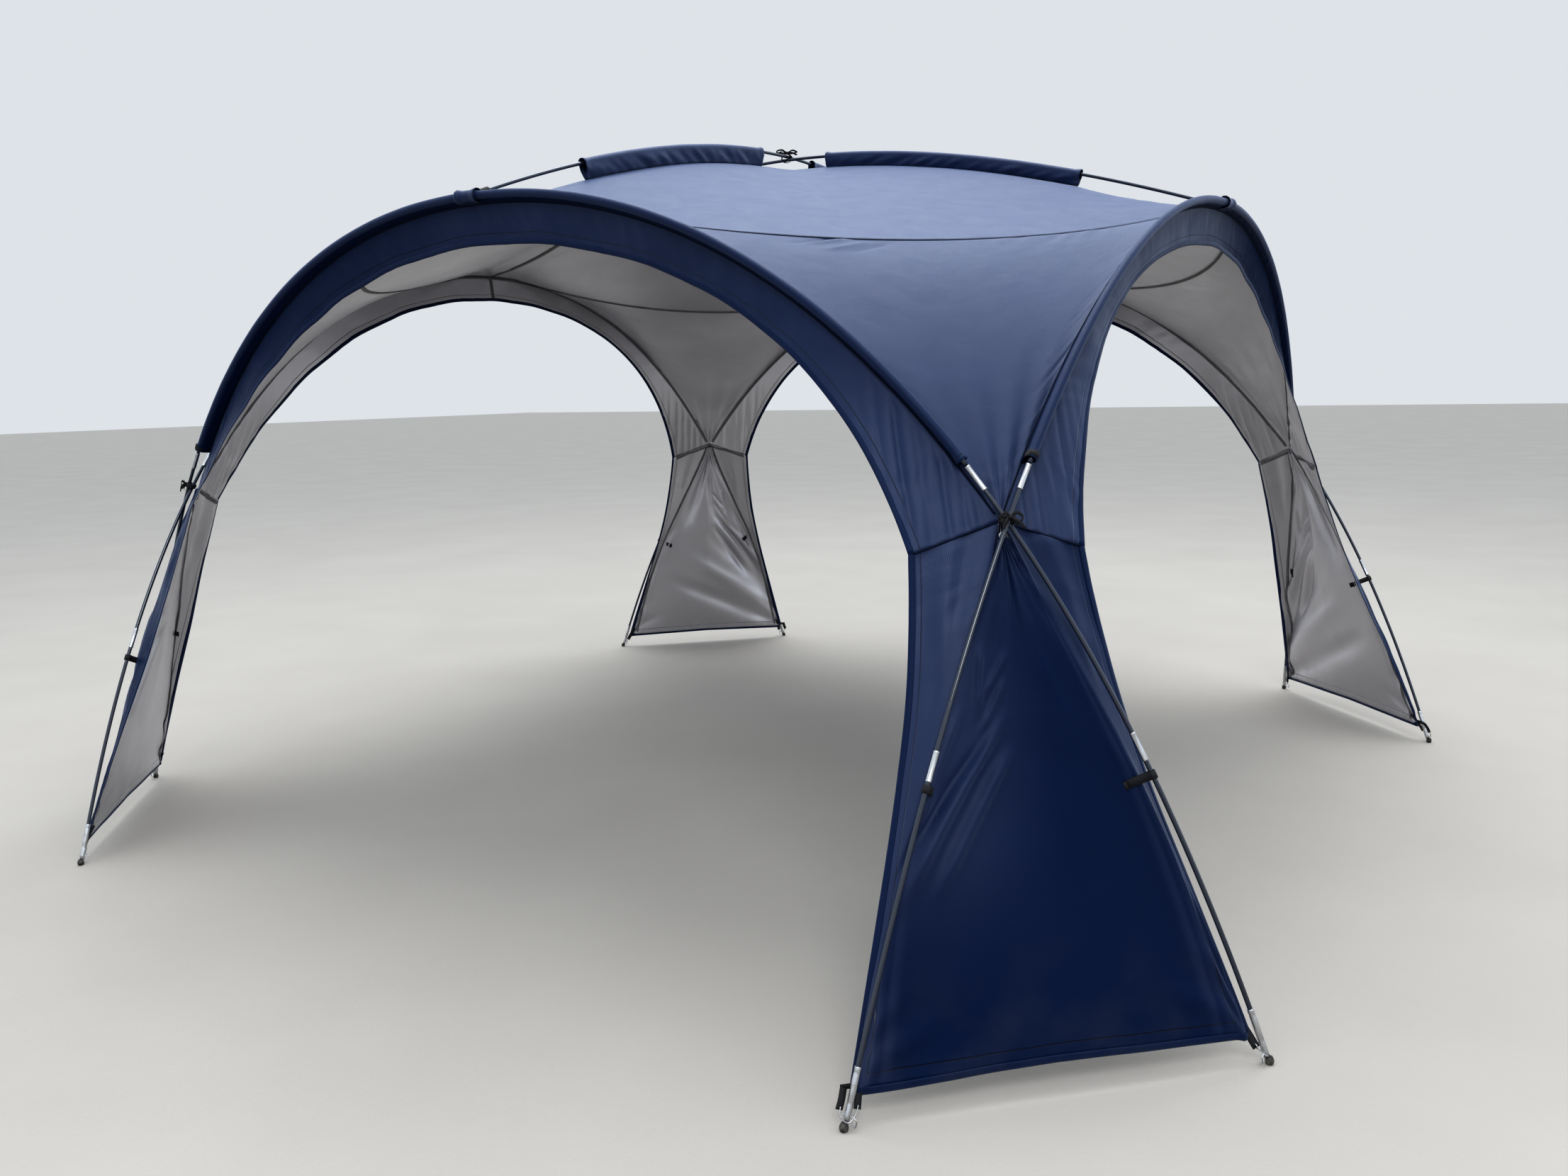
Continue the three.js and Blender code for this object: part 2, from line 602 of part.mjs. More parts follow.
CORNERS.forEach((corner, quarter) => {
  const group = new THREE.Group();
  group.rotation.z = (quarter * Math.PI) / 2;
  add(group, `${corner}_corner_sheet`, cornerSheet(), navy);
  add(group, `${corner}_leg_sheet`, strappedLegSheet(), navy);
  add(group, `${corner}_corner_tie`, cornerTie(), webbing);
  shelter.add(group);
});

add(shelter, "roof_sheet", roofSheet(), navy);
add(shelter, "front_to_back_roof_pole", roofPole(POLE_LIFT), rodFinish);
const sideways = new THREE.Group();
sideways.rotation.z = Math.PI / 2;
add(sideways, "left_to_right_roof_pole", roofPole(-POLE_LIFT), rodFinish);
shelter.add(sideways);
add(shelter, "roof_tie", roofTie(), webbing);

export default shelter;
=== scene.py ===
# %% [markdown]
# # Dressing a pole-framed dome shelter
# The shelter stands on four bent poles. Each pole is an arch over one side of a square, and neighbouring
# arches cross over each corner leg. Two more poles bow over the roof. The canopy is sewn from sheets of
# coated polyester: dark navy outside, silver grey inside.
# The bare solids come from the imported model. This lesson keeps their place and size, and makes each one
# look like what it is: cloth with seams and folds, black rods, steel ferrules, webbing and ribbon.

# %% Load the bare solids
from bisect import bisect_right
from functools import cache
from math import acos, atan2, cos, exp, hypot, pi, radians, sin, sqrt, tau

import bmesh
import bpy
from mathutils import Matrix, Vector, noise
from mathutils.geometry import interpolate_bezier


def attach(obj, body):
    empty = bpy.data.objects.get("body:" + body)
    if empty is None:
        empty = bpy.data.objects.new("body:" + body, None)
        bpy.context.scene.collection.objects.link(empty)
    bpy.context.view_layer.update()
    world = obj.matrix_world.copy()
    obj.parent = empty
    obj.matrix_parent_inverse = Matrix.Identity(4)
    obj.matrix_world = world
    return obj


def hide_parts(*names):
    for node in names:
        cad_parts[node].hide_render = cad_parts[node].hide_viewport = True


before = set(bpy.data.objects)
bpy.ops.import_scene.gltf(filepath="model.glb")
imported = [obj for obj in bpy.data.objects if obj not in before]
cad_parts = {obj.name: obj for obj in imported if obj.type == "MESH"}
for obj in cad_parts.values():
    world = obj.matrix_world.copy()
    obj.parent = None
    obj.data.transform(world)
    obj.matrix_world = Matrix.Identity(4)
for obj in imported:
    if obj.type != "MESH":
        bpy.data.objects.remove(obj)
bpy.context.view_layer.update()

# %% [markdown]
# The camera comes first, in the place where the photograph was taken.
# Its place and turn were worked out from points of the frame whose real places are known. A wide lens
# close to the near corner gives the strong perspective.

# %% Put the camera where the photograph was taken
VIEW_FROM = Vector((2.574, -4.015, 1.447))
VIEW_TURN = radians(33.19)
VIEW_TILT = radians(-9.11)
VIEW_ROLL = radians(-1.235)
FILM_WIDTH = 36.0
LENS = FILM_WIDTH * 1777.7 / 2212

view_data = bpy.data.cameras.new("view")
view_data.sensor_width = FILM_WIDTH
view_data.lens = LENS
view_data.clip_end = 200
look = Vector((-sin(VIEW_TURN) * cos(VIEW_TILT), cos(VIEW_TURN) * cos(VIEW_TILT), sin(VIEW_TILT)))
aim = look.to_track_quat("-Z", "Y").to_matrix().to_4x4() @ Matrix.Rotation(VIEW_ROLL, 4, "Z")
view = bpy.data.objects.new("view", view_data)
view.matrix_world = Matrix.Translation(VIEW_FROM) @ aim
bpy.context.scene.collection.objects.link(view)
bpy.context.scene.camera = view
print("lens", round(LENS, 2), "mm")

# %% [markdown]
# The poles are smooth bends, and the cloth follows them. A Bezier curve gives a bend from four points.
# Cutting it into many short steps and adding up their lengths lets a maker ask for the point at so many
# metres along the pole, which is how sleeves, ferrules and straps are placed on a real one.

# %% A bent line that is measured along its length
class Line:
    """A line through close points, asked for the point at a distance along it."""

    def __init__(self, points):
        self.points = [Vector(point) for point in points]
        self.reached = [0.0]
        for one, two in zip(self.points, self.points[1:]):
            self.reached.append(self.reached[-1] + (two - one).length)
        self.length = self.reached[-1]

    def at(self, distance):
        distance = min(max(distance, 0.0), self.length)
        index = min(bisect_right(self.reached, distance), len(self.points) - 1)
        start, end = self.reached[index - 1], self.reached[index]
        return self.points[index - 1].lerp(self.points[index], (distance - start) / (end - start))


def bend(start, start_handle, end_handle, end):
    return Line(interpolate_bezier(start, start_handle, end_handle, end, 700))


def lerp(one, two, share):
    return one + (two - one) * share


def smooth(value, low, high):
    share = min(max((value - low) / (high - low), 0.0), 1.0)
    return share * share * (3 - 2 * share)


# %% [markdown]
# The front arch leans outwards by five degrees. Its right half runs from the foot over the shoulder to
# the apex; the left half is its mirror image. All four arches are the same, a quarter turn apart. Each pole
# is skewed by a few millimetres, so that two neighbours pass beside each other where they cross.

# %% The arch poles
FOOT_REACH = 2.060
ARCH_STAND = 1.395
ARCH_LEAN = radians(5)
ARCH_RISE = 1.968
ARCH_SKEW = 0.0065
ROOF_TOP = 2.262
ROD_RADIUS = 0.0055
ROD_LIFT = ROD_RADIUS + 0.0004
QUARTER = pi / 2
SIDES = ["front", "right", "back", "left"]
CORNERS = ["front_right", "back_right", "back_left", "front_left"]


def on_arch_plane(along, rise):
    return Vector((along, -(ARCH_STAND + rise * sin(ARCH_LEAN)), rise * cos(ARCH_LEAN)))


arch_half = bend(
    on_arch_plane(FOOT_REACH, 0),
    on_arch_plane(1.655, 1.200),
    on_arch_plane(1.027, ARCH_RISE),
    on_arch_plane(0, ARCH_RISE),
)
HALF = arch_half.length
ARCH_NORMAL = Vector((0, -cos(ARCH_LEAN), -sin(ARCH_LEAN)))


def arch_point(distance):
    point = arch_half.at(2 * HALF - distance if distance > HALF else distance)
    if distance > HALF:
        point.x = -point.x
    return point


def pole_point(distance):
    point = arch_point(distance)
    point.y += ARCH_SKEW * point.x
    return point


def left_pole_point(distance):
    return pole_point(2 * HALF - distance)


# %% The roof poles, and where the arches cross
roof_half = bend(
    Vector((0, 0, ROOF_TOP)),
    Vector((0, -0.520, ROOF_TOP)),
    Vector((0, -1.050, 2.135)),
    Vector((0, -1.535, 1.964)),
)


def roof_point(distance):
    point = roof_half.at(abs(distance))
    if distance < 0:
        point.y = -point.y
    return point


def last_where(holds, low, high):
    """The value up to which a test holds, found by halving."""
    for _ in range(30):
        middle = (low + high) / 2
        low, high = (middle, high) if holds(middle) else (low, middle)
    return low


CROSSING = last_where(lambda distance: arch_point(distance).x + arch_point(distance).y > 0, 0, HALF)
print("half an arch is", round(HALF, 3), "m; the arches cross", round(CROSSING, 3), "m up their legs")

# %% [markdown]
# The cloth hangs from lines that follow the poles a little below them. Every sheet of the canopy is
# written as a surface: two shares, across and down, give a point. The hood goes from the pole to the hem
# of the opening, the corner sheet hangs like a hammock between two arches, and the leg sheet falls from
# the crossing to the ground.

# %% The seam under the pole and the hem of the hood
INSIDE = Vector((0, 0, 0.6))
SLEEVE_START = 1.450
SLEEVE_DROP = 0.030
TIE_DROP = 0.025
ROOF_CORNER = 0.150
ROOF_SEAM_AT = HALF - ROOF_CORNER
CREASE_SHARE = 0.75


def outwards(point):
    return (point - INSIDE).normalized()


def raised(point, lift):
    return point + outwards(point) * lift


def across_corner(point):
    return Vector((-point.y, -point.x, point.z))


@cache
def cloth_edge(distance):
    share = smooth(min(distance, 2 * HALF - distance), CROSSING, SLEEVE_START)
    return raised(arch_point(distance), -lerp(TIE_DROP, SLEEVE_DROP, share)).freeze()


hem_half = bend(
    Vector((0, -1.526, 1.843)),
    Vector((0.422, -1.526, 1.843)),
    Vector((1.025, -1.462, 1.694)),
    Vector((1.331, -1.610, 1.081)),
)


@cache
def hem_edge(distance):
    share = min(1.0, abs(HALF - distance) / (HALF - CROSSING))
    point = hem_half.at(share * hem_half.length)
    if distance > HALF:
        point.x = -point.x
    return point.freeze()


def hem_way(distance):
    """The way down the hood, from the seam under the pole to the hem."""
    return hem_edge(distance) - cloth_edge(distance)


# %% The corner sheet between two arches
def on_diagonal(reach, height):
    return Vector((reach / sqrt(2), -reach / sqrt(2), height))


tie_point = cloth_edge(CROSSING)
valley = bend(
    on_diagonal(1.501, 1.805), on_diagonal(1.722, 1.700), on_diagonal(1.955, 1.440), Vector(tie_point)
)


@cache
def corner_span(distance):
    share = (ROOF_SEAM_AT - distance) / (ROOF_SEAM_AT - CROSSING)
    one = cloth_edge(distance)
    other = across_corner(one)
    middle = (one + other) / 2
    sag = valley.at(share * valley.length) - middle
    return middle.freeze(), ((other - one) / 2).freeze(), sag.freeze()


def corner_point(distance, across):
    middle, half_span, sag = corner_span(distance)
    return middle + half_span * across + sag * (1 - across * across)


print("a hood is", round(hem_way(HALF).length, 3), "m deep over the apex and",
      round(hem_way(CROSSING).length, 3), "m at the crossing")

# %% [markdown]
# A leg sheet is held at a few places down its length, so its edges, its two creases and its middle are
# smooth lines through known points. A Catmull-Rom spline does that: each stretch is a cubic whose slope
# at a point comes from the points on either side.

# %% A smooth line through known points
class Draped:
    """A smooth line through given points, asked by its share of the points."""

    def __init__(self, points):
        self.points = [2 * points[0] - points[1], *points, 2 * points[-1] - points[-2]]

    def at(self, share):
        spans = len(self.points) - 3
        index = min(int(share * spans), spans - 1)
        local = share * spans - index
        before, start, end, after = self.points[index : index + 4]
        stretches = ((before, start), (start, end), (end, after))
        lead, step, tail = (sqrt((two - one).length) for one, two in stretches)
        leave = ((start - before) / lead - (end - before) / (lead + step) + (end - start) / step) * step
        arrive = ((end - start) / step - (after - start) / (step + tail) + (after - end) / tail) * step
        bow = 3 * (end - start) - 2 * leave - arrive
        turn = 2 * (start - end) + leave + arrive
        return start + leave * local + bow * local**2 + turn * local**3


# %% The leg sheet between its middle, its creases and its edges
def on_leg(sideways, reach, height):
    return Vector(((reach + sideways) / sqrt(2), (sideways - reach) / sqrt(2), height))


def leg_column(top, rows):
    return Draped([Vector(top)] + [on_leg(*row) for row in rows])


LEG_STEPS = 60
waist_end = across_corner(hem_edge(CROSSING))
leg_edge = leg_column(
    waist_end,
    [
        (0.208, 2.116, 0.970),
        (0.235, 2.176, 0.790),
        (0.275, 2.232, 0.620),
        (0.346, 2.322, 0.370),
        (0.434, 2.421, 0.066),
    ],
)
leg_crease = leg_column(
    tie_point.lerp(waist_end, 0.03),
    [
        (0.060, 2.150, 1.010),
        (0.150, 2.212, 0.815),
        (0.240, 2.266, 0.620),
        (0.328, 2.335, 0.370),
        (0.404, 2.421, 0.067),
    ],
)
leg_middle = leg_column(
    tie_point,
    [(0, 2.146, 1.012), (0, 2.200, 0.815), (0, 2.250, 0.620), (0, 2.326, 0.370), (0, 2.423, 0.074)],
)
leg_length = Line([leg_middle.at(step / LEG_STEPS) for step in range(LEG_STEPS + 1)]).length


@cache
def leg_row(down):
    return leg_middle.at(down).freeze(), leg_crease.at(down).freeze(), leg_edge.at(down).freeze()


def leg_point(across, down):
    middle, crease, edge = leg_row(down)
    side = abs(across)
    if side < CREASE_SHARE:
        point = middle.lerp(crease, side / CREASE_SHARE)
    else:
        point = crease.lerp(edge, (side - CREASE_SHARE) / (1 - CREASE_SHARE))
    return across_corner(point) if across < 0 else point


def leg_half_width(down):
    return (leg_point(1, down) - leg_point(-1, down)).length / 2


leg_width = round(2 * leg_half_width(1), 3)
print("a leg sheet is", round(leg_length, 3), "m long and", leg_width, "m wide at the ground")

# %% [markdown]
# The roof sheet stands up in four ridges under the roof sleeves and falls between them to its seams. Its
# edge is known all the way round, so the surface is written as rings that shrink from that edge to the
# middle, with a height that blends from the ridge's fall to a soft dome.

# %% The roof sheet's surface
FIN_HEIGHT = 0.045
FIN_FROM = 0.170
FIN_TO = 1.110
ROOF_CENTRE = ROOF_TOP - FIN_HEIGHT
ARCH_STRETCH = 0.08
RIDGE_REACH = -cloth_edge(HALF).y
RIDGE_SLACK = 0.060
RIDGE_SHARPNESS = 0.8
DOME_POWER = 1.3


@cache
def roof_edge(quarters):
    part = quarters % 1
    near_arch = min(part, 1 - part)
    if near_arch < ARCH_STRETCH:
        point = Vector(cloth_edge(HALF - ROOF_CORNER * near_arch / ARCH_STRETCH))
        point = across_corner(point) if part > 0.5 else point
    else:
        across = (part - ARCH_STRETCH) / (1 - 2 * ARCH_STRETCH) * 2 - 1
        point = corner_point(ROOF_SEAM_AT, across)
    return (Matrix.Rotation(int(quarters) * QUARTER, 3, "Z") @ point).freeze()


def roof_distance(reach):
    return last_where(lambda distance: -roof_point(distance).y < reach, 0, roof_half.length)


@cache
def ridge_height(reach):
    if reach <= FIN_TO:
        return roof_point(roof_distance(reach)).z - FIN_HEIGHT
    share = (reach - FIN_TO) / (RIDGE_REACH - FIN_TO)
    slack = RIDGE_SLACK * share * (1 - share)
    return lerp(roof_point(roof_distance(FIN_TO)).z - FIN_HEIGHT, cloth_edge(HALF).z, share) - slack


def roof_surface(quarters, share):
    edge = roof_edge(quarters)
    whole_fall = ROOF_CENTRE - ridge_height(RIDGE_REACH)
    ridge_fall = (ROOF_CENTRE - ridge_height(share * RIDGE_REACH)) / whole_fall
    from_ridge = abs(sin(2 * atan2(edge.y, edge.x))) ** RIDGE_SHARPNESS
    fall = lerp(ridge_fall, share**DOME_POWER, from_ridge)
    return Vector((edge.x * share, edge.y * share, ROOF_CENTRE - (ROOF_CENTRE - edge.z) * fall))


roof_fall = round(ROOF_CENTRE - ridge_height(RIDGE_REACH), 3)
print("the roof sheet falls", roof_fall, "m from its middle to an arch")

# %% [markdown]
# Every finish is made from nodes. A small helper adds a node, sets its values and links what is handed to
# it, so that each finish reads as a short recipe. Cloth takes its pattern from a UV map in metres, which
# keeps the weave the same size on every sheet.

# %% A helper for node recipes
def add_node(tree, kind, inputs=None, **settings):
    node = tree.nodes.new(kind)
    for name, value in settings.items():
        setattr(node, name, value)
    for socket, value in (inputs or {}).items():
        if isinstance(value, bpy.types.NodeSocket):
            tree.links.new(value, node.inputs[socket])
        else:
            node.inputs[socket].default_value = value
    return node


def sum_node(tree, operation, *values):
    return add_node(tree, "ShaderNodeMath", dict(enumerate(values)), operation=operation).outputs[0]


def ramp_between(tree, share, low, high):
    inputs = {"Value": share, "From Min": low, "From Max": high}
    return add_node(tree, "ShaderNodeMapRange", inputs).outputs[0]


def blended(tree, share, one, two):
    mix = add_node(tree, "ShaderNodeMix", {0: share, 6: one, 7: two}, data_type="RGBA")
    return mix.outputs[2]


def new_finish(name, **shine):
    finish = bpy.data.materials.new(name)
    finish.use_nodes = True
    tree = finish.node_tree
    surface = tree.nodes["Principled BSDF"]
    for socket, value in shine.items():
        surface.inputs[socket.replace("_", " ")].default_value = value
    return finish, tree, surface


def bumped(tree, height, distance, under=None):
    inputs = {"Height": height, "Distance": distance, "Strength": 1.0}
    if under is not None:
        inputs["Normal"] = under
    return add_node(tree, "ShaderNodeBump", inputs).outputs[0]


# %% Patterns for the recipes
def real_place(tree):
    return add_node(tree, "ShaderNodeTexCoord").outputs["Object"]


def flat_place(tree):
    return add_node(tree, "ShaderNodeUVMap", uv_map="cloth").outputs[0]


def mottle(tree, place, scale, detail, **more):
    inputs = {"Vector": place, "Scale": scale, "Detail": detail, **more}
    return add_node(tree, "ShaderNodeTexNoise", inputs).outputs["Fac"]


def bands(tree, place, scale, way, **more):
    inputs = {"Vector": place, "Scale": scale, **more}
    return add_node(tree, "ShaderNodeTexWave", inputs, bands_direction=way).outputs["Fac"]


# %% [markdown]
# The canopy cloth is a plain weave. Two wave textures at right angles make the threads, broad noise makes
# the slight unevenness of the dye, and a finer noise makes the crumple that coated cloth keeps from its
# bag. Sheen catches light at a shallow angle, which is what makes the navy look slate blue on the roof.
# Two attributes steer the rest. One holds the distance to a hem and draws the row of stitches beside it.
# The other holds a share of painted shading: the navy is painted deeper and less glossy there, a painted
# shade, and the lining is painted paler, a painted light.
# The lining is the same recipe with a metal coat, which gives it the satin look of silver-coated cloth.

# %% The recipe of the canopy cloth
WEAVE_SCALE = 260.0
STITCH_ROW = 0.021
PAINTED_SHADE_DULLS = 0.75
DUST = (0.17, 0.155, 0.135, 1.0)
DUST_TOP = 0.34


def canopy_finish(name, deep, pale, painted_shading_colour, hem_shade, roughness, crinkle, **shine):
    finish, tree, surface = new_finish(name, **shine)
    cloth = flat_place(tree)
    weave = sum_node(tree, "MAXIMUM", *[bands(tree, cloth, WEAVE_SCALE, way) for way in "XY"])
    dye = mottle(tree, cloth, 2.4, 5.0)
    crumple = mottle(tree, cloth, 13.0, 6.0, Roughness=0.62, Distortion=0.6)
    colour = blended(tree, ramp_between(tree, dye, 0.32, 0.70), deep, pale)
    # painted shade: the colour is darkened between the threads of the weave, where shade falls
    painted_thread_shade = [value * 0.75 for value in deep[:3]] + [1.0]
    colour = blended(tree, sum_node(tree, "MULTIPLY", weave, 0.22), colour, painted_thread_shade)

    # painted shading: where this attribute is high, the navy is painted deeper and less glossy (painted
    # shade) and the lining paler (painted light)
    painted_shading = add_node(tree, "ShaderNodeAttribute", attribute_name="painted_shading").outputs["Fac"]
    colour = blended(tree, painted_shading, colour, painted_shading_colour)
    for socket in ("Sheen Weight", "Specular IOR Level"):
        gloss = surface.inputs[socket].default_value
        less = sum_node(tree, "MULTIPLY_ADD", painted_shading, -PAINTED_SHADE_DULLS * gloss, gloss)
        tree.links.new(less, surface.inputs[socket])

    to_hem = add_node(tree, "ShaderNodeAttribute", attribute_name="to_hem").outputs["Fac"]
    from_row = sum_node(tree, "ABSOLUTE", sum_node(tree, "SUBTRACT", to_hem, STITCH_ROW))
    stitches = ramp_between(tree, from_row, 0.0016, 0.0004)
    colour = blended(tree, sum_node(tree, "MULTIPLY", stitches, 0.8), colour, hem_shade)

    place = real_place(tree)
    height = add_node(tree, "ShaderNodeSeparateXYZ", {0: place}).outputs["Z"]
    near_floor = ramp_between(tree, height, DUST_TOP, 0.05)
    splash = ramp_between(tree, mottle(tree, place, 9.0, 4.0), 0.42, 0.72)
    dusty = sum_node(tree, "MULTIPLY", sum_node(tree, "MULTIPLY", near_floor, splash), 0.07)
    tree.links.new(blended(tree, dusty, colour, DUST), surface.inputs["Base Color"])

    worn = sum_node(tree, "MULTIPLY_ADD", crumple, 0.22, roughness - 0.11)
    tree.links.new(worn, surface.inputs["Roughness"])
    relief = bumped(tree, crumple, crinkle)
    relief = bumped(tree, weave, 0.00012, relief)
    relief = bumped(tree, sum_node(tree, "MULTIPLY", stitches, -1.0), 0.0012, relief)
    tree.links.new(relief, surface.inputs["Normal"])
    return finish


# %% Navy outside, silver inside
navy = canopy_finish(
    "navy_canopy_cloth",
    deep=(0.0013, 0.0106, 0.0480, 1),
    pale=(0.0026, 0.0146, 0.0580, 1),
    # painted shade: the deeper navy painted where the painted shading attribute is high
    painted_shading_colour=(0.0006, 0.0088, 0.0380, 1),
    hem_shade=(0.001, 0.003, 0.010, 1),
    roughness=0.50,
    crinkle=0.0006,
    Specular_IOR_Level=0.48,
    Specular_Tint=(0.80, 0.85, 0.98, 1.0),
    Sheen_Weight=0.35,
    Sheen_Roughness=0.50,
    Sheen_Tint=(0.54, 0.65, 0.95, 1.0),
)
silver = canopy_finish(
    "silver_lining",
    deep=(0.43, 0.425, 0.45, 1),
    pale=(0.53, 0.525, 0.555, 1),
    # painted light: the paler lining painted where the painted shading attribute is high
    painted_shading_colour=(0.56, 0.555, 0.585, 1),
    hem_shade=(0.14, 0.14, 0.15, 1),
    roughness=0.34,
    crinkle=0.0013,
    Specular_IOR_Level=0.60,
    Sheen_Weight=0.05,
    Metallic=0.85,
)
print("canopy cloth:", navy.name, "outside,", silver.name, "inside")

# %% [markdown]
# Seams are bound with a dark tape outside and a grey one inside, the straps are ribbed webbing, and the
# bows are soft ribbon. They are all woven narrow goods, so one recipe serves them: ribs across the width,
# whose tops are painted lighter in patches as a painted highlight.

# %% Tape, webbing and ribbon
BAND_REPEAT = 0.314  # metres from band to band in a wave texture of scale 1


def woven_finish(name, colour, rib, relief, **shine):
    finish, tree, surface = new_finish(name, **shine)
    cloth = flat_place(tree)
    ribs = bands(tree, cloth, BAND_REPEAT / rib, "Y", Distortion=0.4)
    fuzz = mottle(tree, cloth, 60.0, 4.0)
    # painted highlight: the ribs are painted lighter, as if they catch the light
    painted_rib_highlight = [min(1.0, value * 2.1) for value in colour[:3]] + [1.0]
    shade = blended(tree, sum_node(tree, "MULTIPLY", ribs, fuzz), colour, painted_rib_highlight)
    tree.links.new(shade, surface.inputs["Base Color"])
    tree.links.new(sum_node(tree, "MULTIPLY_ADD", fuzz, 0.3, 0.5), surface.inputs["Roughness"])
    tree.links.new(bumped(tree, ribs, relief), surface.inputs["Normal"])
    return finish


seam_tape = woven_finish(
    "dark_seam_tape", (0.003, 0.006, 0.016, 1), rib=0.0011, relief=0.0002, Specular_IOR_Level=0.10
)
lining_tape = woven_finish(
    "grey_lining_tape", (0.105, 0.103, 0.110, 1), rib=0.0011, relief=0.0002, Specular_IOR_Level=0.4
)
webbing = woven_finish(
    "black_webbing", (0.011, 0.011, 0.013, 1), rib=0.0019, relief=0.0005, Specular_IOR_Level=0.35
)
ribbon = woven_finish(
    "black_ribbon", (0.008, 0.008, 0.010, 1), rib=0.0010, relief=0.0002, Specular_IOR_Level=0.4
)
print("narrow goods:", [finish.name for finish in (seam_tape, lining_tape, webbing, ribbon)])

# %% [markdown]
# The rods are black glass fibre with a smooth coat that is scuffed lengthways. The ferrules and foot tubes
# are zinc-plated steel: bright, with fine scratches and a few dull spots. The feet are dusty rubber.

# %% Rods, steel and rubber
SCRATCH_SCALES = (260.0, 260.0, 22.0)


def hard_finish(name, colour, dull, roughness, scratch, dirt, **shine):
    finish, tree, surface = new_finish(name, **shine)
    place = real_place(tree)
    streaks = add_node(tree, "ShaderNodeMapping", {"Vector": place, "Scale": SCRATCH_SCALES}).outputs[0]
    scuffs = mottle(tree, streaks, 1.0, 3.0)
    spots = mottle(tree, place, 55.0, 5.0)
    worn = sum_node(tree, "MULTIPLY", ramp_between(tree, spots, 0.48, 0.70), dirt)
    tree.links.new(blended(tree, worn, colour, dull), surface.inputs["Base Color"])
    rough = sum_node(tree, "MULTIPLY_ADD", spots, dirt * 0.5, roughness - dirt * 0.2)
    tree.links.new(rough, surface.inputs["Roughness"])
    tree.links.new(bumped(tree, scuffs, scratch), surface.inputs["Normal"])
    return finish


# %% The three hard finishes
rod_black = hard_finish(
    "black_glass_fibre",
    colour=(0.012, 0.016, 0.026, 1),
    dull=(0.030, 0.035, 0.048, 1),
    roughness=0.16,
    scratch=0.00001,
    dirt=0.10,
    Specular_IOR_Level=0.5,
    Coat_Weight=0.6,
    Coat_Roughness=0.08,
    Coat_Tint=(0.80, 0.88, 1.0, 1.0),
)
zinc = hard_finish(
    "zinc_plated_steel",
    colour=(0.46, 0.47, 0.485, 1),
    dull=(0.30, 0.28, 0.26, 1),
    roughness=0.26,
    scratch=0.00006,
    dirt=0.55,
    Metallic=1.0,
)
rubber = hard_finish(
    "dusty_rubber",
    colour=(0.018, 0.018, 0.018, 1),
    dull=(0.14, 0.13, 0.115, 1),
    roughness=0.72,
    scratch=0.0002,
    dirt=0.7,
)
print("hard finishes:", [finish.name for finish in (rod_black, zinc, rubber)])

# %% [markdown]
# Nearly every piece here is a grid laid on something: a sheet on its surface, a rod or a sleeve rolled
# round a line, a strap along a path. So one helper makes a grid with Blender's own operator, moves each
# corner to where a function puts it, and stores the cloth's flat metres as its UV map. A second helper
# closes a rolled grid: it merges the joined edges and fills both ends.

# %% Grids laid on a shape
MERGE_WITHIN = 1e-6


def laid_grid(columns, rows, place):
    """place(u, v) gives a point, its flat metres, its distance to a hem, and maybe its share of painted
    shading.
    """
    shape = bmesh.new()
    bmesh.ops.create_grid(shape, x_segments=columns, y_segments=rows, size=0.5)
    flat_map = shape.loops.layers.uv.new("cloth")
    hem_layer = shape.verts.layers.float.new("to_hem")
    painted_shading_layer = shape.verts.layers.float.new("painted_shading")
    flat = {}
    for corner in shape.verts:
        corner.co, flat[corner], corner[hem_layer], *painted_shading = place(corner.co.x + 0.5, corner.co.y + 0.5)
        corner[painted_shading_layer] = painted_shading[0] if painted_shading else 0.0
    for face in shape.faces:
        for loop in face.loops:
            loop[flat_map].uv = flat[loop.vert]
    return shape


def rolled(around, along, place):
    shape = laid_grid(around, along, place)
    bmesh.ops.remove_doubles(shape, verts=shape.verts, dist=MERGE_WITHIN)
    bmesh.ops.holes_fill(shape, edges=[edge for edge in shape.edges if edge.is_boundary], sides=0)
    bmesh.ops.recalc_face_normals(shape, faces=shape.faces)
    return shape


def face_outwards(shape):
    shape.normal_update()
    if sum(face.normal.dot(outwards(face.calc_center_median())) for face in shape.faces) < 0:
        bmesh.ops.reverse_faces(shape, faces=shape.faces)
    return shape


def piece(name, quarter, shapes, finishes, stands_for=(), cloth=None):
    """One object from one or more shapes, turned by quarter turns to its side, which rides on the frame."""
    whole = bmesh.new()
    turn = Matrix.Rotation(quarter * QUARTER, 3, "Z")
    for shape in shapes:
        bmesh.ops.rotate(shape, verts=shape.verts, cent=(0, 0, 0), matrix=turn)
        part = bpy.data.meshes.new("part")
        shape.to_mesh(part)
        shape.free()
        whole.from_mesh(part)
        bpy.data.meshes.remove(part)
    mesh = bpy.data.meshes.new(name)
    whole.to_mesh(mesh)
    whole.free()
    mesh.shade_smooth()
    for finish in finishes:
        mesh.materials.append(finish)
    thing = bpy.data.objects.new(name, mesh)
    bpy.context.scene.collection.objects.link(thing)
    if cloth:
        wall = thing.modifiers.new("cloth", "SOLIDIFY")
        wall.thickness = cloth
        wall.offset = -1
        wall.material_offset = len(finishes) - 1
    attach(thing, "root")
    if stands_for:
        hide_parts(*stands_for)
    return thing


# %% [markdown]
# Rods, tubes, sleeves and bindings all need to know which way a line runs at a point, and two directions
# square to it. A straight strap needs only a path and the way its width points.

# %% Directions
UP = Vector((0, 0, 1))
RIGHTWARDS = Vector((1, 0, 0))


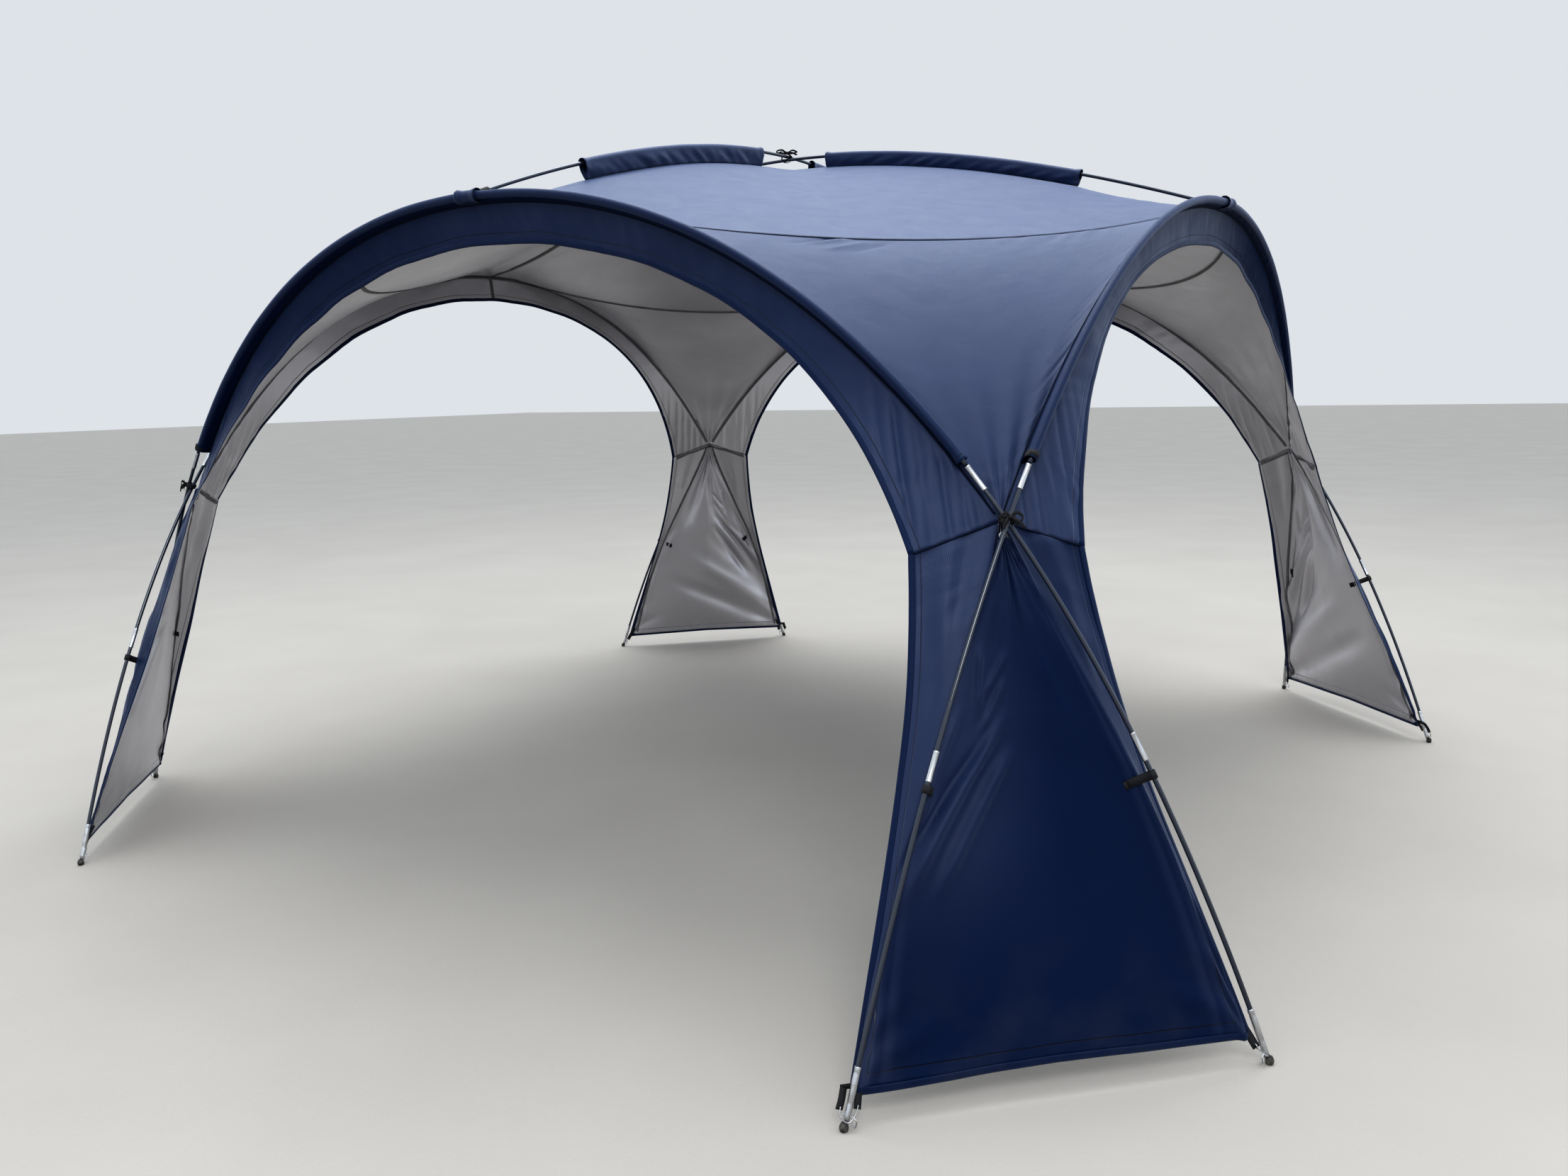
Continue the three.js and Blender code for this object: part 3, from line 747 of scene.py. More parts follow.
def direction(line_at, distance, step=0.0005):
    return (line_at(distance + step) - line_at(distance - step)).normalized()


def square_to(along, hint):
    side = (hint - along * hint.dot(along)).normalized()
    return side, side.cross(along)


# %% Rods and bindings along a line
BINDING_SIDES = 8
# painted shade: the navy bindings get this share of painted shading, so they are painted deeper and less
# glossy
BINDING_PAINTED_SHADE = 0.8


def rod(line_at, start, end, radius, hint, steps, sides=12):
    """A round rod along a line."""

    def place(u, v):
        distance = lerp(start, end, v)
        side, other = square_to(direction(line_at, distance), hint)
        point = line_at(distance) + side * radius * cos(tau * u) + other * radius * sin(tau * u)
        return point, (u * tau * radius, distance), 1.0

    return rolled(sides, steps, place)


def binding(line_at, start, end, way_at, section, steps):
    """A flat roll along an edge. way_at is the way its width points, one for all or a function."""
    half_width, half_depth = section

    def place(u, v):
        distance = lerp(start, end, v)
        way = way_at(distance) if callable(way_at) else way_at
        side, other = square_to(direction(line_at, distance, 0.002), way)
        angle = tau * u
        point = line_at(distance) + side * half_width * cos(angle) + other * half_depth * sin(angle)
        return point, (half_width * cos(angle), distance), 1.0, BINDING_PAINTED_SHADE

    return rolled(BINDING_SIDES, steps, place)


# %% Straps
def strap(path, breadth, width, thickness=0.0016):
    """A flat strap along points. breadth is the way its width points, one for all or one for each."""
    rows = len(path) - 1
    run = Line(path)

    def place(u, v):
        index = round(v * rows)
        way = breadth[index] if isinstance(breadth, list) else breadth
        return path[index] + way * (u - 0.5) * width, ((u - 0.5) * width, run.reached[index]), 1.0

    shape = laid_grid(2, rows, place)
    bmesh.ops.recalc_face_normals(shape, faces=shape.faces)
    bmesh.ops.solidify(shape, geom=shape.faces[:], thickness=thickness)
    return shape


# %% Turned parts
TURNING_STEPS = 20


def spun(profile, place):
    """A turned part: a profile of (height, radius) pairs, spun round its axis and put in place."""
    shape = bmesh.new()
    dots = [shape.verts.new((radius, 0, height)) for height, radius in profile]
    chain = [shape.edges.new(pair) for pair in zip(dots, dots[1:])]
    bmesh.ops.spin(
        shape,
        geom=dots + chain,
        axis=(0, 0, 1),
        cent=(0, 0, 0),
        steps=TURNING_STEPS,
        angle=tau,
        use_merge=True,
        use_duplicate=False,
    )
    bmesh.ops.remove_doubles(shape, verts=shape.verts, dist=MERGE_WITHIN)
    bmesh.ops.recalc_face_normals(shape, faces=shape.faces)
    shape.loops.layers.uv.new("cloth")
    bmesh.ops.transform(shape, matrix=place, verts=shape.verts)
    return shape


def stood_on(point, along, hint):
    """A matrix that puts a turned part at a point with its axis along a direction."""
    side, other = square_to(along, hint)
    turn = Matrix((side, along.cross(side), along)).transposed().to_4x4()
    return Matrix.Translation(point) @ turn


# %% [markdown]
# Folds decide whether cloth looks like cloth. Five kinds cover this canopy: a single fold between two
# points, a fan of folds that opens from a point under tension, the short puckers that a line of stitches
# draws together, the slow swell of a slack sheet, and narrow grooves that hang down side by side where
# much cloth is gathered. Each gives a height at a place on the flat cloth, and a sheet adds up the ones it
# needs. They are shapes, not bumps in a finish, so they show on the outline and in the lining too.

# %% Folds, fans and puckers
def wander(x, y, seed):
    return noise.noise(Vector((x, y, 7.3 * seed + 0.37)))


def fold(x, y, start, end, width, height):
    """A ridge, or with a negative height a groove, from start to end."""
    run = Vector(end) - Vector(start)
    here = Vector((x, y)) - Vector(start)
    share = here.dot(run) / run.length_squared
    if not 0 < share < 1:
        return 0.0
    away = (here - run * share).length
    return height * smooth(share, 0, 0.25) * smooth(1 - share, 0, 0.35) * exp(-((away / width) ** 2))


def fan(x, y, centre, heading, spread, folds, reach, seed):
    """Folds that open from a point, -1 to 1 high, with the highest at reach."""
    away = hypot(x - centre[0], y - centre[1])
    bearing = (atan2(y - centre[1], x - centre[0]) - heading + pi) % tau - pi
    if abs(bearing) > spread:
        return 0.0
    wave = sin(folds * pi * bearing / spread + 2.5 * wander(bearing * 3, 0.5, seed))
    return (1 - (bearing / spread) ** 2) * wave * away / reach * exp(1 - away / reach)


def pucker(along, away, width, seed, pitch=0.035):
    """Short ripples square to a seam, -1 to 1 high, that die out away from it."""
    lean = along + away * 0.5
    return wander(lean / pitch, away * 4, seed) * away / width * exp(1 - away / width)


# %% Swells and hanging grooves
def swell(x, y, seed, size=0.45):
    return wander(x / size, y / size, seed)


def hanging(sideways, height, seed, pitch=0.036):
    """Narrow grooves that hang down side by side, up to 1 deep."""
    depth = 0.15 + 2.0 * abs(wander(sideways * 14, height * 0.7, seed + 2))
    wave = sin(tau * sideways / pitch + 4.0 * wander(sideways * 9, height * 0.9, seed))
    return -depth * (0.5 + 0.5 * wave) ** 2.2


# %% [markdown]
# The roof sheet is one piece of cloth over the whole middle. It is drawn tight from the four sleeves, so
# it keeps only shallow swells, with puckers where it is stitched: along its seams to the corner sheets and
# under each sleeve. A fan of small folds opens from each arch, where the pull is strongest.

# %% Roof sheet
CLOTH = 0.0012
CLOTH_FACE = 0.0006
ROOF_SECTORS = 208
ROOF_RINGS = 72
ROOF_REACH = 1.5
APEX_REACH = 1.56


def sheet_piece(name, quarter, shape, node):
    return piece(name, quarter, [face_outwards(shape)], [navy, silver], [node], CLOTH)


def roof_folds(point, quarters, share):
    bearing = quarters % 1
    to_seam = ROOF_REACH * (1 - share)
    to_ridge = min(bearing, 1 - bearing) * 1.57 * ROOF_REACH * share
    height = 0.0035 * swell(point.x, point.y, 3) * smooth(to_seam, 0, 0.3)
    height += 0.0022 * pucker(quarters * 2.3, to_seam, 0.035, 5)
    height += 0.0016 * pucker(share * 1.5, to_ridge, 0.030, 9, 0.028) * smooth(share, 0.05, 0.15)
    for quarter in range(4):
        x, y = Matrix.Rotation(-quarter * QUARTER, 2) @ point.xy
        if y < -0.9:
            opening = fan(x, y, (0, -APEX_REACH), pi / 2, 1.1, 9, 0.16, quarter)
            height += 0.0022 * opening * smooth(to_seam, 0, 0.02)
    return height


def lay_roof(u, v):
    quarters = (u % 1) * 4
    point = roof_surface(quarters, v)
    point = raised(point, CLOTH_FACE + roof_folds(point, quarters, v))
    return point, (point.x, point.y), 1.0


roof_shape = laid_grid(ROOF_SECTORS, ROOF_RINGS, lay_roof)
bmesh.ops.remove_doubles(roof_shape, verts=roof_shape.verts, dist=MERGE_WITHIN)
roof_cloth = sheet_piece("roof_cloth", 0, roof_shape, "roof_sheet")
print("roof sheet:", len(roof_cloth.data.polygons), "faces")

# %% [markdown]
# A corner sheet hangs between two arches like a hammock and runs down to a point under their crossing. Its
# own weight and the pull of the tie draw soft folds up from that point, and the sleeves' stitches pucker it
# along both sides. A few longer folds were read off the photograph: beside the sleeves and just below the
# roof seam. The near corner gets a finer grid than the others, because its folds are seen from close by.

# %% Folds of the corner sheets
NEAR_CORNER = CORNERS.index("front_right")
CORNER_SEED = 20
NEAR_GRID = (136, 130)
FAR_GRID = (84, 92)
SLEEVE_FOLDS = [
    ((0.52, 1.98), (0.34, 1.72), 0.014, 0.0050),
    ((0.55, 2.08), (0.38, 1.80), 0.012, -0.0045),
    ((0.62, 2.20), (0.46, 1.98), 0.013, 0.0045),
    ((0.40, 1.80), (0.24, 1.60), 0.011, 0.0040),
]
SEAM_FOLDS = [
    ((-0.15, -0.02), (-0.30, 0.11), 0.011, 0.0050),
    ((-0.20, -0.01), (-0.35, 0.13), 0.011, -0.0040),
    ((-0.11, 0.02), (-0.26, 0.17), 0.011, 0.0045),
    ((-0.07, 0.04), (-0.20, 0.18), 0.010, -0.0035),
]


def corner_folds(x, distance, half_width, seed):
    from_top = ROOF_SEAM_AT - distance
    above_tie = distance - CROSSING
    to_arch = half_width - abs(x)
    edge = smooth(to_arch, 0, 0.02) * smooth(from_top, 0, 0.02)
    height = 0.004 * swell(x, distance, seed, 0.60) * smooth(half_width, 0.05, 0.5) * edge
    height += 0.0020 * pucker(distance, to_arch, 0.030, seed + 1)
    bunched = smooth(wander(x * 2.2, 0.3, seed + 4), -0.1, 0.35)
    height += 0.0042 * pucker(x, from_top, 0.045, seed + 2, 0.045) * bunched
    height += 0.0040 * fan(x, above_tie, (0, -0.06), pi / 2, 0.60, 7, 0.20, seed) * edge
    for side in (-1, 1):
        for start, end, width, rise in SLEEVE_FOLDS:
            height += fold(side * x, distance, start, end, width, rise) * edge
    for start, end, width, rise in SEAM_FOLDS:
        height += fold(x, from_top, start, end, width, rise) * edge
    return height


# %% Corner sheets
def lay_corner(quarter):
    def lay(u, v):
        distance = lerp(CROSSING + 0.004, ROOF_SEAM_AT, v)
        half_width = corner_span(distance)[1].length
        x = (u * 2 - 1) * half_width
        height = corner_folds(x, distance, half_width, CORNER_SEED + quarter)
        return raised(corner_point(distance, u * 2 - 1), CLOTH_FACE + height), (x, distance), 1.0

    return lay


corner_cloths = []
for quarter, corner in enumerate(CORNERS):
    grid = NEAR_GRID if quarter == NEAR_CORNER else FAR_GRID
    shape = laid_grid(*grid, lay_corner(quarter))
    corner_cloths.append(sheet_piece(f"{corner}_corner_cloth", quarter, shape, f"{corner}_corner_sheet"))
print("corner sheets:", [cloth.name for cloth in corner_cloths])

# %% [markdown]
# A leg sheet carries the most folds, because it is strapped to two poles that pull it sideways while it
# hangs. Its side flaps are turned back along two creases. The folds were read off the photograph one by
# one and written as start, end, width and height in metres on the flat sheet, measured from the middle and
# down from the crossing. Corners that the photograph does not show so well get the same folds, mirrored
# and varied, and the two far legs hang slacker, with broad folds that run up from one foot. Between the
# creases the navy is painted deeper and less glossy, a painted shade, and the lining paler, a painted light.
# The slack side is left as pale as the flaps, and the front-left leg gets painted shade all over.

# %% Folds read off the leg sheets
LEG_FOLDS = [
    ((-0.030, 0.500), (-0.262, 0.920), 0.012, 0.0190),
    ((-0.062, 0.545), (-0.280, 0.880), 0.009, -0.0120),
    ((-0.020, 0.590), (-0.196, 0.900), 0.011, 0.0170),
    ((-0.120, 0.345), (-0.098, 0.545), 0.009, 0.0095),
    ((-0.030, 0.375), (-0.108, 0.490), 0.007, 0.0090),
    ((-0.036, 0.430), (-0.104, 0.580), 0.007, 0.0090),
    ((-0.145, 0.480), (-0.215, 0.800), 0.010, 0.0110),
    ((-0.435, 1.130), (-0.225, 0.985), 0.010, 0.0095),
    ((-0.440, 1.135), (-0.180, 1.040), 0.012, 0.0090),
    ((-0.440, 1.120), (-0.285, 0.900), 0.010, 0.0080),
    ((-0.430, 1.140), (-0.060, 1.105), 0.010, 0.0050),
    ((0.440, 1.120), (0.240, 0.965), 0.011, 0.0095),
    ((0.440, 1.135), (0.190, 1.035), 0.012, 0.0085),
    ((0.435, 1.110), (0.300, 0.890), 0.010, 0.0075),
    ((0.160, 0.560), (0.290, 0.960), 0.012, 0.0065),
    ((0.020, 0.060), (0.110, 0.600), 0.014, 0.0045),
    ((-0.020, 0.050), (-0.060, 0.420), 0.012, 0.0045),
]
SLACK_LEG_FOLDS = [
    ((-0.42, 1.10), (0.04, 0.60), 0.030, 0.024),
    ((-0.40, 1.12), (0.13, 0.74), 0.026, -0.018),
    ((-0.38, 1.13), (0.22, 0.86), 0.026, 0.020),
    ((-0.01, 0.22), (-0.05, 0.62), 0.020, 0.016),
    ((0.06, 0.10), (0.13, 0.66), 0.028, 0.018),
    ((0.43, 1.12), (0.22, 0.80), 0.016, 0.014),
]
FLAP_FOLDS = [
    (0.168, 0.010, 0.196, 0.520, 0.0075, 0.0075),
    (0.140, 0.000, 0.150, 0.300, 0.0070, 0.0065),
    (0.112, 0.000, 0.118, 0.230, 0.0065, -0.0050),
    (0.186, 0.000, 0.212, 0.400, 0.0060, -0.0050),
    (0.075, 0.000, 0.100, 0.180, 0.0060, 0.0050),
]

# %% How high the folds stand, and where the leg sheet is painted in shade
LEG_SEED = 40
SLACK_CORNERS = (CORNERS.index("back_right"), CORNERS.index("back_left"))
LEFT_CORNER = CORNERS.index("front_left")


def leg_folds(x, y, half_width, quarter, mirrored):
    seed = LEG_SEED + quarter
    to_edge = half_width - abs(x)
    to_floor = leg_length - y
    flap = smooth(abs(x) / half_width, CREASE_SHARE - 0.05, CREASE_SHARE + 0.08) * smooth(0.62 - y, 0, 0.5)
    flap_folds = 0.0075 * flap * hanging(to_edge, y, seed + (x > 0), 0.030)
    x = -x if mirrored else x
    height = 0.0045 * swell(x, y, seed, 0.32) + 0.0018 * swell(x, y, seed + 3, 0.09)
    folds = LEG_FOLDS + (SLACK_LEG_FOLDS if quarter in SLACK_CORNERS else [])
    for number, (start, end, width, rise) in enumerate(folds):
        vary = 1 + 0.35 * wander(number, 0.5, seed) * (quarter != NEAR_CORNER)
        height += fold(x, y, start, end, width * 1.2, rise * vary)
    for x1, y1, x2, y2, width, rise in FLAP_FOLDS:
        height += fold(abs(x), y, (x1, y1 - 0.10), (x2, y2), width, rise)
    height += 0.004 * fan(x, y, (0, -0.03), pi / 2, 0.75, 8, 0.16, seed)
    height += 0.003 * pucker(x, y, 0.022, seed + 1, 0.022)
    height += 0.0022 * pucker(x, to_floor, 0.03, seed + 2, 0.06)
    return (height + flap_folds) * smooth(y, 0, 0.012) * smooth(to_edge, -0.01, 0.02)


def painted_leg_shade(across, slack_x, y, quarter):
    """The share of painted shade on a leg sheet at a place. slack_x runs from its middle to its slack side.
    """
    # painted shade on the leg: deep between the creases, lifted on the slack side, near the ground and beside
    # the creases
    unshaded_side = smooth(slack_x, -0.08, 0.18) * smooth(y, 0.20, 0.50) * smooth(1.02 - y, 0, 0.30)
    band = exp(-(((abs(across) - CREASE_SHARE + 0.06) / 0.022) ** 2))
    leg_shade = smooth(CREASE_SHARE + 0.02 - abs(across), 0, 0.05) * (1 - 0.75 * unshaded_side) * (1 - 0.4 * band)
    leg_shade *= 0.6 + 0.4 * smooth(y, 0.05, 0.45)
    # painted shade: the whole front-left leg gets at least 0.8
    return max(leg_shade, 0.55 * smooth(-slack_x, 0, 0.04), 0.8 * (quarter == LEFT_CORNER))


# %% Leg sheets
LEG_GRID = (92, 124)


def lay_leg(quarter):
    mirrored = quarter % 2 == 1

    def lay(u, v):
        across, down = u * 2 - 1, 1 - v
        half_width = leg_half_width(down)
        x, y = across * half_width, down * leg_length
        height = leg_folds(x, y, half_width, quarter, mirrored)
        _, crease, edge = leg_row(down)
        flap = (1 - abs(across)) / (1 - CREASE_SHARE) * (edge - crease).length
        to_hem = min(flap if abs(across) > CREASE_SHARE else 1.0, leg_length - y)
        painted_shading = painted_leg_shade(across, x if mirrored else -x, y, quarter)
        return raised(leg_point(across, down), CLOTH_FACE + height), (x, y), to_hem, painted_shading

    return lay


leg_cloths = []
for quarter, corner in enumerate(CORNERS):
    shape = laid_grid(*LEG_GRID, lay_leg(quarter))
    leg_cloths.append(sheet_piece(f"{corner}_leg_cloth", quarter, shape, f"{corner}_leg_sheet"))
print("leg sheets:", [cloth.name for cloth in leg_cloths])

# %% [markdown]
# The hood is the strip from the pole down to the hem of an opening. Over the crown it is smooth and a
# little slack. Near the crossing it widens and is gathered, so grooves hang straight down into the waist
# seam, and a few folds fan out from the end of the pole's sleeve.

# %% Folds of the hoods
HOOD_SEED = 60
SLEEVE_END = 1.47


def hood_folds(x, distance, width, seed):
    from_foot = min(distance, 2 * HALF - distance)
    side = 0 if distance < HALF else 1
    to_hem = width - x
    edge = smooth(x, 0, 0.015) * smooth(to_hem, -0.012, 0.03)
    broad, small = swell(x * 0.6, distance, seed, 0.24), swell(x, distance, seed + 5, 0.085)
    height = (0.006 * broad + 0.0032 * small) * edge
    height += 0.0030 * pucker(distance, x, 0.030, seed + 1, 0.034)
    height += 0.0018 * sin(distance * 21 + 3 * wander(distance, 0, seed)) * smooth(0.12 - to_hem, 0, 0.12)
    height += 0.0030 * fan(x, from_foot, (-0.02, SLEEVE_END + 0.10), -0.95, 0.62, 6, 0.17, seed + side) * edge
    near_tie = smooth(1.84 - from_foot, 0, 0.30) * smooth(x, 0, 0.03) * smooth(to_hem, -0.012, 0.05)
    height *= 1 - 0.6 * near_tie
    point = cloth_edge(from_foot).lerp(hem_edge(from_foot), x / width)
    from_corner = abs(abs(point.x) - abs(point.y)) / sqrt(2)
    return height + 0.0090 * near_tie * hanging(from_corner, point.z, seed)


# %% Hoods
HOOD_GRID = (320, 36)


def lay_hood(quarter):
    front = quarter == SIDES.index("front")

    def lay(u, v):
        distance = lerp(CROSSING, 2 * HALF - CROSSING, u)
        from_foot = min(distance, 2 * HALF - distance)
        width = hem_way(distance).length
        x = (1 - v) * width
        height = hood_folds(x, distance, width, HOOD_SEED + quarter)
        height *= smooth(from_foot, CROSSING, CROSSING + 0.012)
        # painted shading on the hood: it rises away from the crossing and is strongest on one half; painted
        # shade on the navy, painted light on the lining
        to_far = distance - HALF if front else HALF - distance
        near_painted_shading = 0.5 * smooth(from_foot, CROSSING + 0.1, 2.2)
        painted_shading = lerp(near_painted_shading, 0.9 if front else 1.25, smooth(to_far, -0.5, 0.5))
        point = cloth_edge(distance).lerp(hem_edge(distance), 1 - v)
        return raised(point, CLOTH_FACE + height), (x, distance), width - x, painted_shading

    return lay


hood_cloths = []
for quarter, side in enumerate(SIDES):
    shape = laid_grid(*HOOD_GRID, lay_hood(quarter))
    hood_cloths.append(sheet_piece(f"{side}_hood_cloth", quarter, shape, f"{side}_hood"))
print("hoods:", [cloth.name for cloth in hood_cloths])

# %% [markdown]
# A pole sleeve is a strip of cloth folded over the pole and sewn down below it. Seen along the pole it is a
# drop shape: round over the pole, then two straight sides that close at the seam. The tangent points come
# from the pole's radius and the distance to the seam. Stitching and pull give it small slanting puckers,
# and its open ends flare. A dark seam closes it below, and a ribbon is wound round its lower end.

# %% The section of a sleeve
SLEEVE_RADIUS = 0.0105
SLEEVE_AROUND = 18
WALL_SHARE = 0.28
SEAM_GAP = 0.0007


def drop_outline(share, radius, seam):
    """A point (side, down) of a sleeve's section. share goes from the seam over the pole and back to it."""
    meet = acos(min(0.98, radius / seam))
    turn = lerp(meet, tau - meet, min(max((share - WALL_SHARE) / (1 - 2 * WALL_SHARE), 0), 1))
    side, down = radius * sin(turn), radius * cos(turn)
    to_seam = max(1 - share / WALL_SHARE, 1 - (1 - share) / WALL_SHARE, 0)
    gap = SEAM_GAP if share < 0.5 else -SEAM_GAP
    return lerp(side, gap, to_seam), lerp(down, seam, to_seam), to_seam


def face_away_from(shape, line_at, start, end):
    """Turns a sleeve's faces outwards: away from the line that it is rolled round."""
    middle = lerp(start, end, 0.5)
    centre, along = line_at(middle), direction(line_at, middle)
    shape.normal_update()
    score = 0.0
    for face in shape.faces:
        away = face.calc_center_median() - centre
        if abs(away.dot(along)) < 0.03:
            score += face.normal.dot(away - along * away.dot(along))
    if score < 0:
        bmesh.ops.reverse_faces(shape, faces=shape.faces)
    return shape


def sleeve(line_at, seam_at, start, end, steps, seed, slack, radius=SLEEVE_RADIUS, shade=0.9, slant=1.4):
    """A sleeve sewn round a line. slack is how far its puckers stand out, and shade how much painted shade
    its sides get below the pole.
    """

    def place(u, v):
        distance = lerp(start, end, v)
        along = direction(line_at, distance)
        centre = line_at(distance)
        drop = seam_at(distance) - centre
        drop -= along * drop.dot(along)
        to_end = min(distance - start, end - distance)
        flare = 1 + 0.30 * smooth(0.025 - to_end, 0, 0.025) + 0.05 * wander(distance * 9, u * 5, seed)
        side, down, low = drop_outline(u, radius * flare, drop.length)
        ripple = 0.4 + wander(distance * 34 + low * slant, side * 40, seed)
        side += slack * sin(pi * low) * ripple * (1 if u < 0.5 else -1)
        down_way = drop.normalized()
        point = centre + along.cross(down_way) * side + down_way * down
        # painted shade: the sleeve's sides below the pole are painted deeper and less glossy, as if shade
        # falls on them
        painted_shading = shade * smooth(low, -0.25, 0.25)
        return point, (u * 0.1, distance), max(to_end, 0.0) + 0.010, painted_shading

    return face_away_from(laid_grid(SLEEVE_AROUND, steps, place), line_at, start, end)


# %% Sleeves over the arch poles
SLEEVE_SEED = 80
SLEEVE_CLOTH = 0.0010
SLEEVE_SEAM = (0.0042, 0.0017)
RIBBON_THICKNESS = 0.0008
APEX_BARE_HALF = 0.022


def under_pole(distance):
    return raised(cloth_edge(distance), 0.0016)


def ribbon_wrap(line_at, distance, radius):
    """A ribbon wound once round a sleeve near its end, with a loose tail."""
    along = direction(line_at, distance)
    side, other = square_to(along, ARCH_NORMAL)
    path = [
        line_at(distance + 0.003 * turn / tau) + side * radius * cos(turn) + other * radius * sin(turn)
        for turn in (lerp(0.0, 1.15 * tau, step / 32) for step in range(33))
    ]
    tail = path[-1] - path[-2] + Vector((0, 0, -0.0025))
    path += [path[-1] + tail * step for step in range(1, 9)]
    return strap(path, along, 0.011, RIBBON_THICKNESS)


arch_sleeves = []
for quarter, side in enumerate(SIDES):
    spans = [(SLEEVE_START, HALF - APEX_BARE_HALF), (HALF + APEX_BARE_HALF, 2 * HALF - SLEEVE_START)]
    # painted shade: the arch sleeves get shade 1.2, so their sides are painted dark
    shapes = [
        sleeve(pole_point, under_pole, start, end, 180, SLEEVE_SEED + quarter * 2 + number, 0.0022, shade=1.2)
        for number, (start, end) in enumerate(spans)
    ]
    cloth = piece(f"{side}_arch_sleeves", quarter, shapes, [navy, navy], cloth=SLEEVE_CLOTH)
    arch_sleeves.append(cloth)
    seam = binding(under_pole, SLEEVE_START, 2 * HALF - SLEEVE_START, hem_way, SLEEVE_SEAM, 180)
    piece(f"{side}_sleeve_seam", quarter, [seam], [seam_tape])
    wrap = ribbon_wrap(left_pole_point, SLEEVE_START + 0.010, 0.0145)
    piece(f"{side}_sleeve_ribbon", quarter, [wrap], [ribbon])
print("sleeves on each arch:", len(spans))

# %% [markdown]
# The roof sleeves stand on the roof like low fins: the pole runs along their top edge, well clear of the
# roof cloth. They are made like the arch sleeves, with a longer drop and deeper puckers along the seam.

# %% Sleeves over the roof poles
FIN_SEED = 100
FIN_RADIUS = 0.0115


def roof_pole_at(lift):
    def at(distance):
        return roof_point(distance) + UP * lift

    return at


def on_roof(distance):
    return roof_point(distance) - UP * (FIN_HEIGHT + 0.0010)


def roof_line(quarter):
    """The roof pole of a side. The one from front to back lies on top of the other."""
    return roof_pole_at(-ROD_LIFT if quarter % 2 else ROD_LIFT)


roof_sleeves = []
fin_start, fin_end = roof_distance(FIN_FROM), roof_distance(FIN_TO)
for quarter, side in enumerate(SIDES):
    shape = sleeve(
        roof_line(quarter), on_roof, fin_start, fin_end, 190, FIN_SEED + quarter, 0.0080, FIN_RADIUS, 0.0, 3.0
    )
    name, node = f"{side}_roof_sleeve_cloth", f"{side}_roof_sleeve"
    roof_sleeves.append(piece(name, quarter, [shape], [navy, navy], [node], SLEEVE_CLOTH))
print("roof sleeves:", round(fin_end - fin_start, 3), "m long")

# %% [markdown]
# Each leg is made of rods that plug together in steel ferrules. The rod is a round tube laid along the
# pole's line. A ferrule is short enough to be straight, so it is turned on an axis, with a rolled lip at
# each end.

# %% Ferrules
FERRULES = [(0.700, 0.766), (1.370, 1.436)]
FERRULE_PROFILE = [(0.0, 0.0056), (0.0, 0.0063), (0.0012, 0.0070), (0.0034, 0.0070), (0.0046, 0.0066)]


def ferrule(line_at, start, end):
    length = end - start
    profile = FERRULE_PROFILE + [(length - height, radius) for height, radius in reversed(FERRULE_PROFILE)]
    return spun(profile, stood_on(line_at(start), direction(line_at, (start + end) / 2), ARCH_NORMAL))


# %% Rods of the arches and the roof
ROD_START = 0.097
BOW_START = FERRULES[-1][1]
ROD_END = BOW_START + 0.004
ROOF_FERRULES = (-0.80, 0.80)
FERRULE_HALF = 0.033

for quarter, side in enumerate(SIDES):
    for hand, line in (("right", pole_point), ("left", left_pole_point)):
        leg = rod(line, ROD_START, ROD_END, ROD_RADIUS, ARCH_NORMAL, 120)
        node = f"{side}_arch_{hand}_leg_pole"
        piece(f"{side}_{hand}_leg_rods", quarter, [leg], [rod_black], [node])
        rings = [ferrule(line, *span) for span in FERRULES]
        piece(f"{side}_{hand}_leg_ferrules", quarter, rings, [zinc])
    bow = rod(pole_point, BOW_START, 2 * HALF - BOW_START, ROD_RADIUS, ARCH_NORMAL, 140)
    piece(f"{side}_bow_rod", quarter, [bow], [rod_black], [f"{side}_arch_bow_pole"])

for quarter, name in enumerate(("front_to_back", "left_to_right")):
    line = roof_line(quarter)
    bow = rod(line, -roof_half.length, roof_half.length, ROD_RADIUS, RIGHTWARDS, 200)
    piece(f"{name}_roof_rod", quarter, [bow], [rod_black], [f"{name}_roof_pole"])
    rings = [ferrule(line, at - FERRULE_HALF, at + FERRULE_HALF) for at in ROOF_FERRULES]
    piece(f"{name}_roof_ferrules", quarter, rings, [zinc])
print("ferrules on each leg:", len(FERRULES))

# %% [markdown]
# A foot is a zinc-plated tube over the end of the rod, pinched a little where it grips, on a small rubber
# ball. A cotter pin runs through it, and a bent wire runs from the pin up to the webbing of the cloth. Its
# path is given as the distance up the pole, the way to the sheet and the way out from the corner.

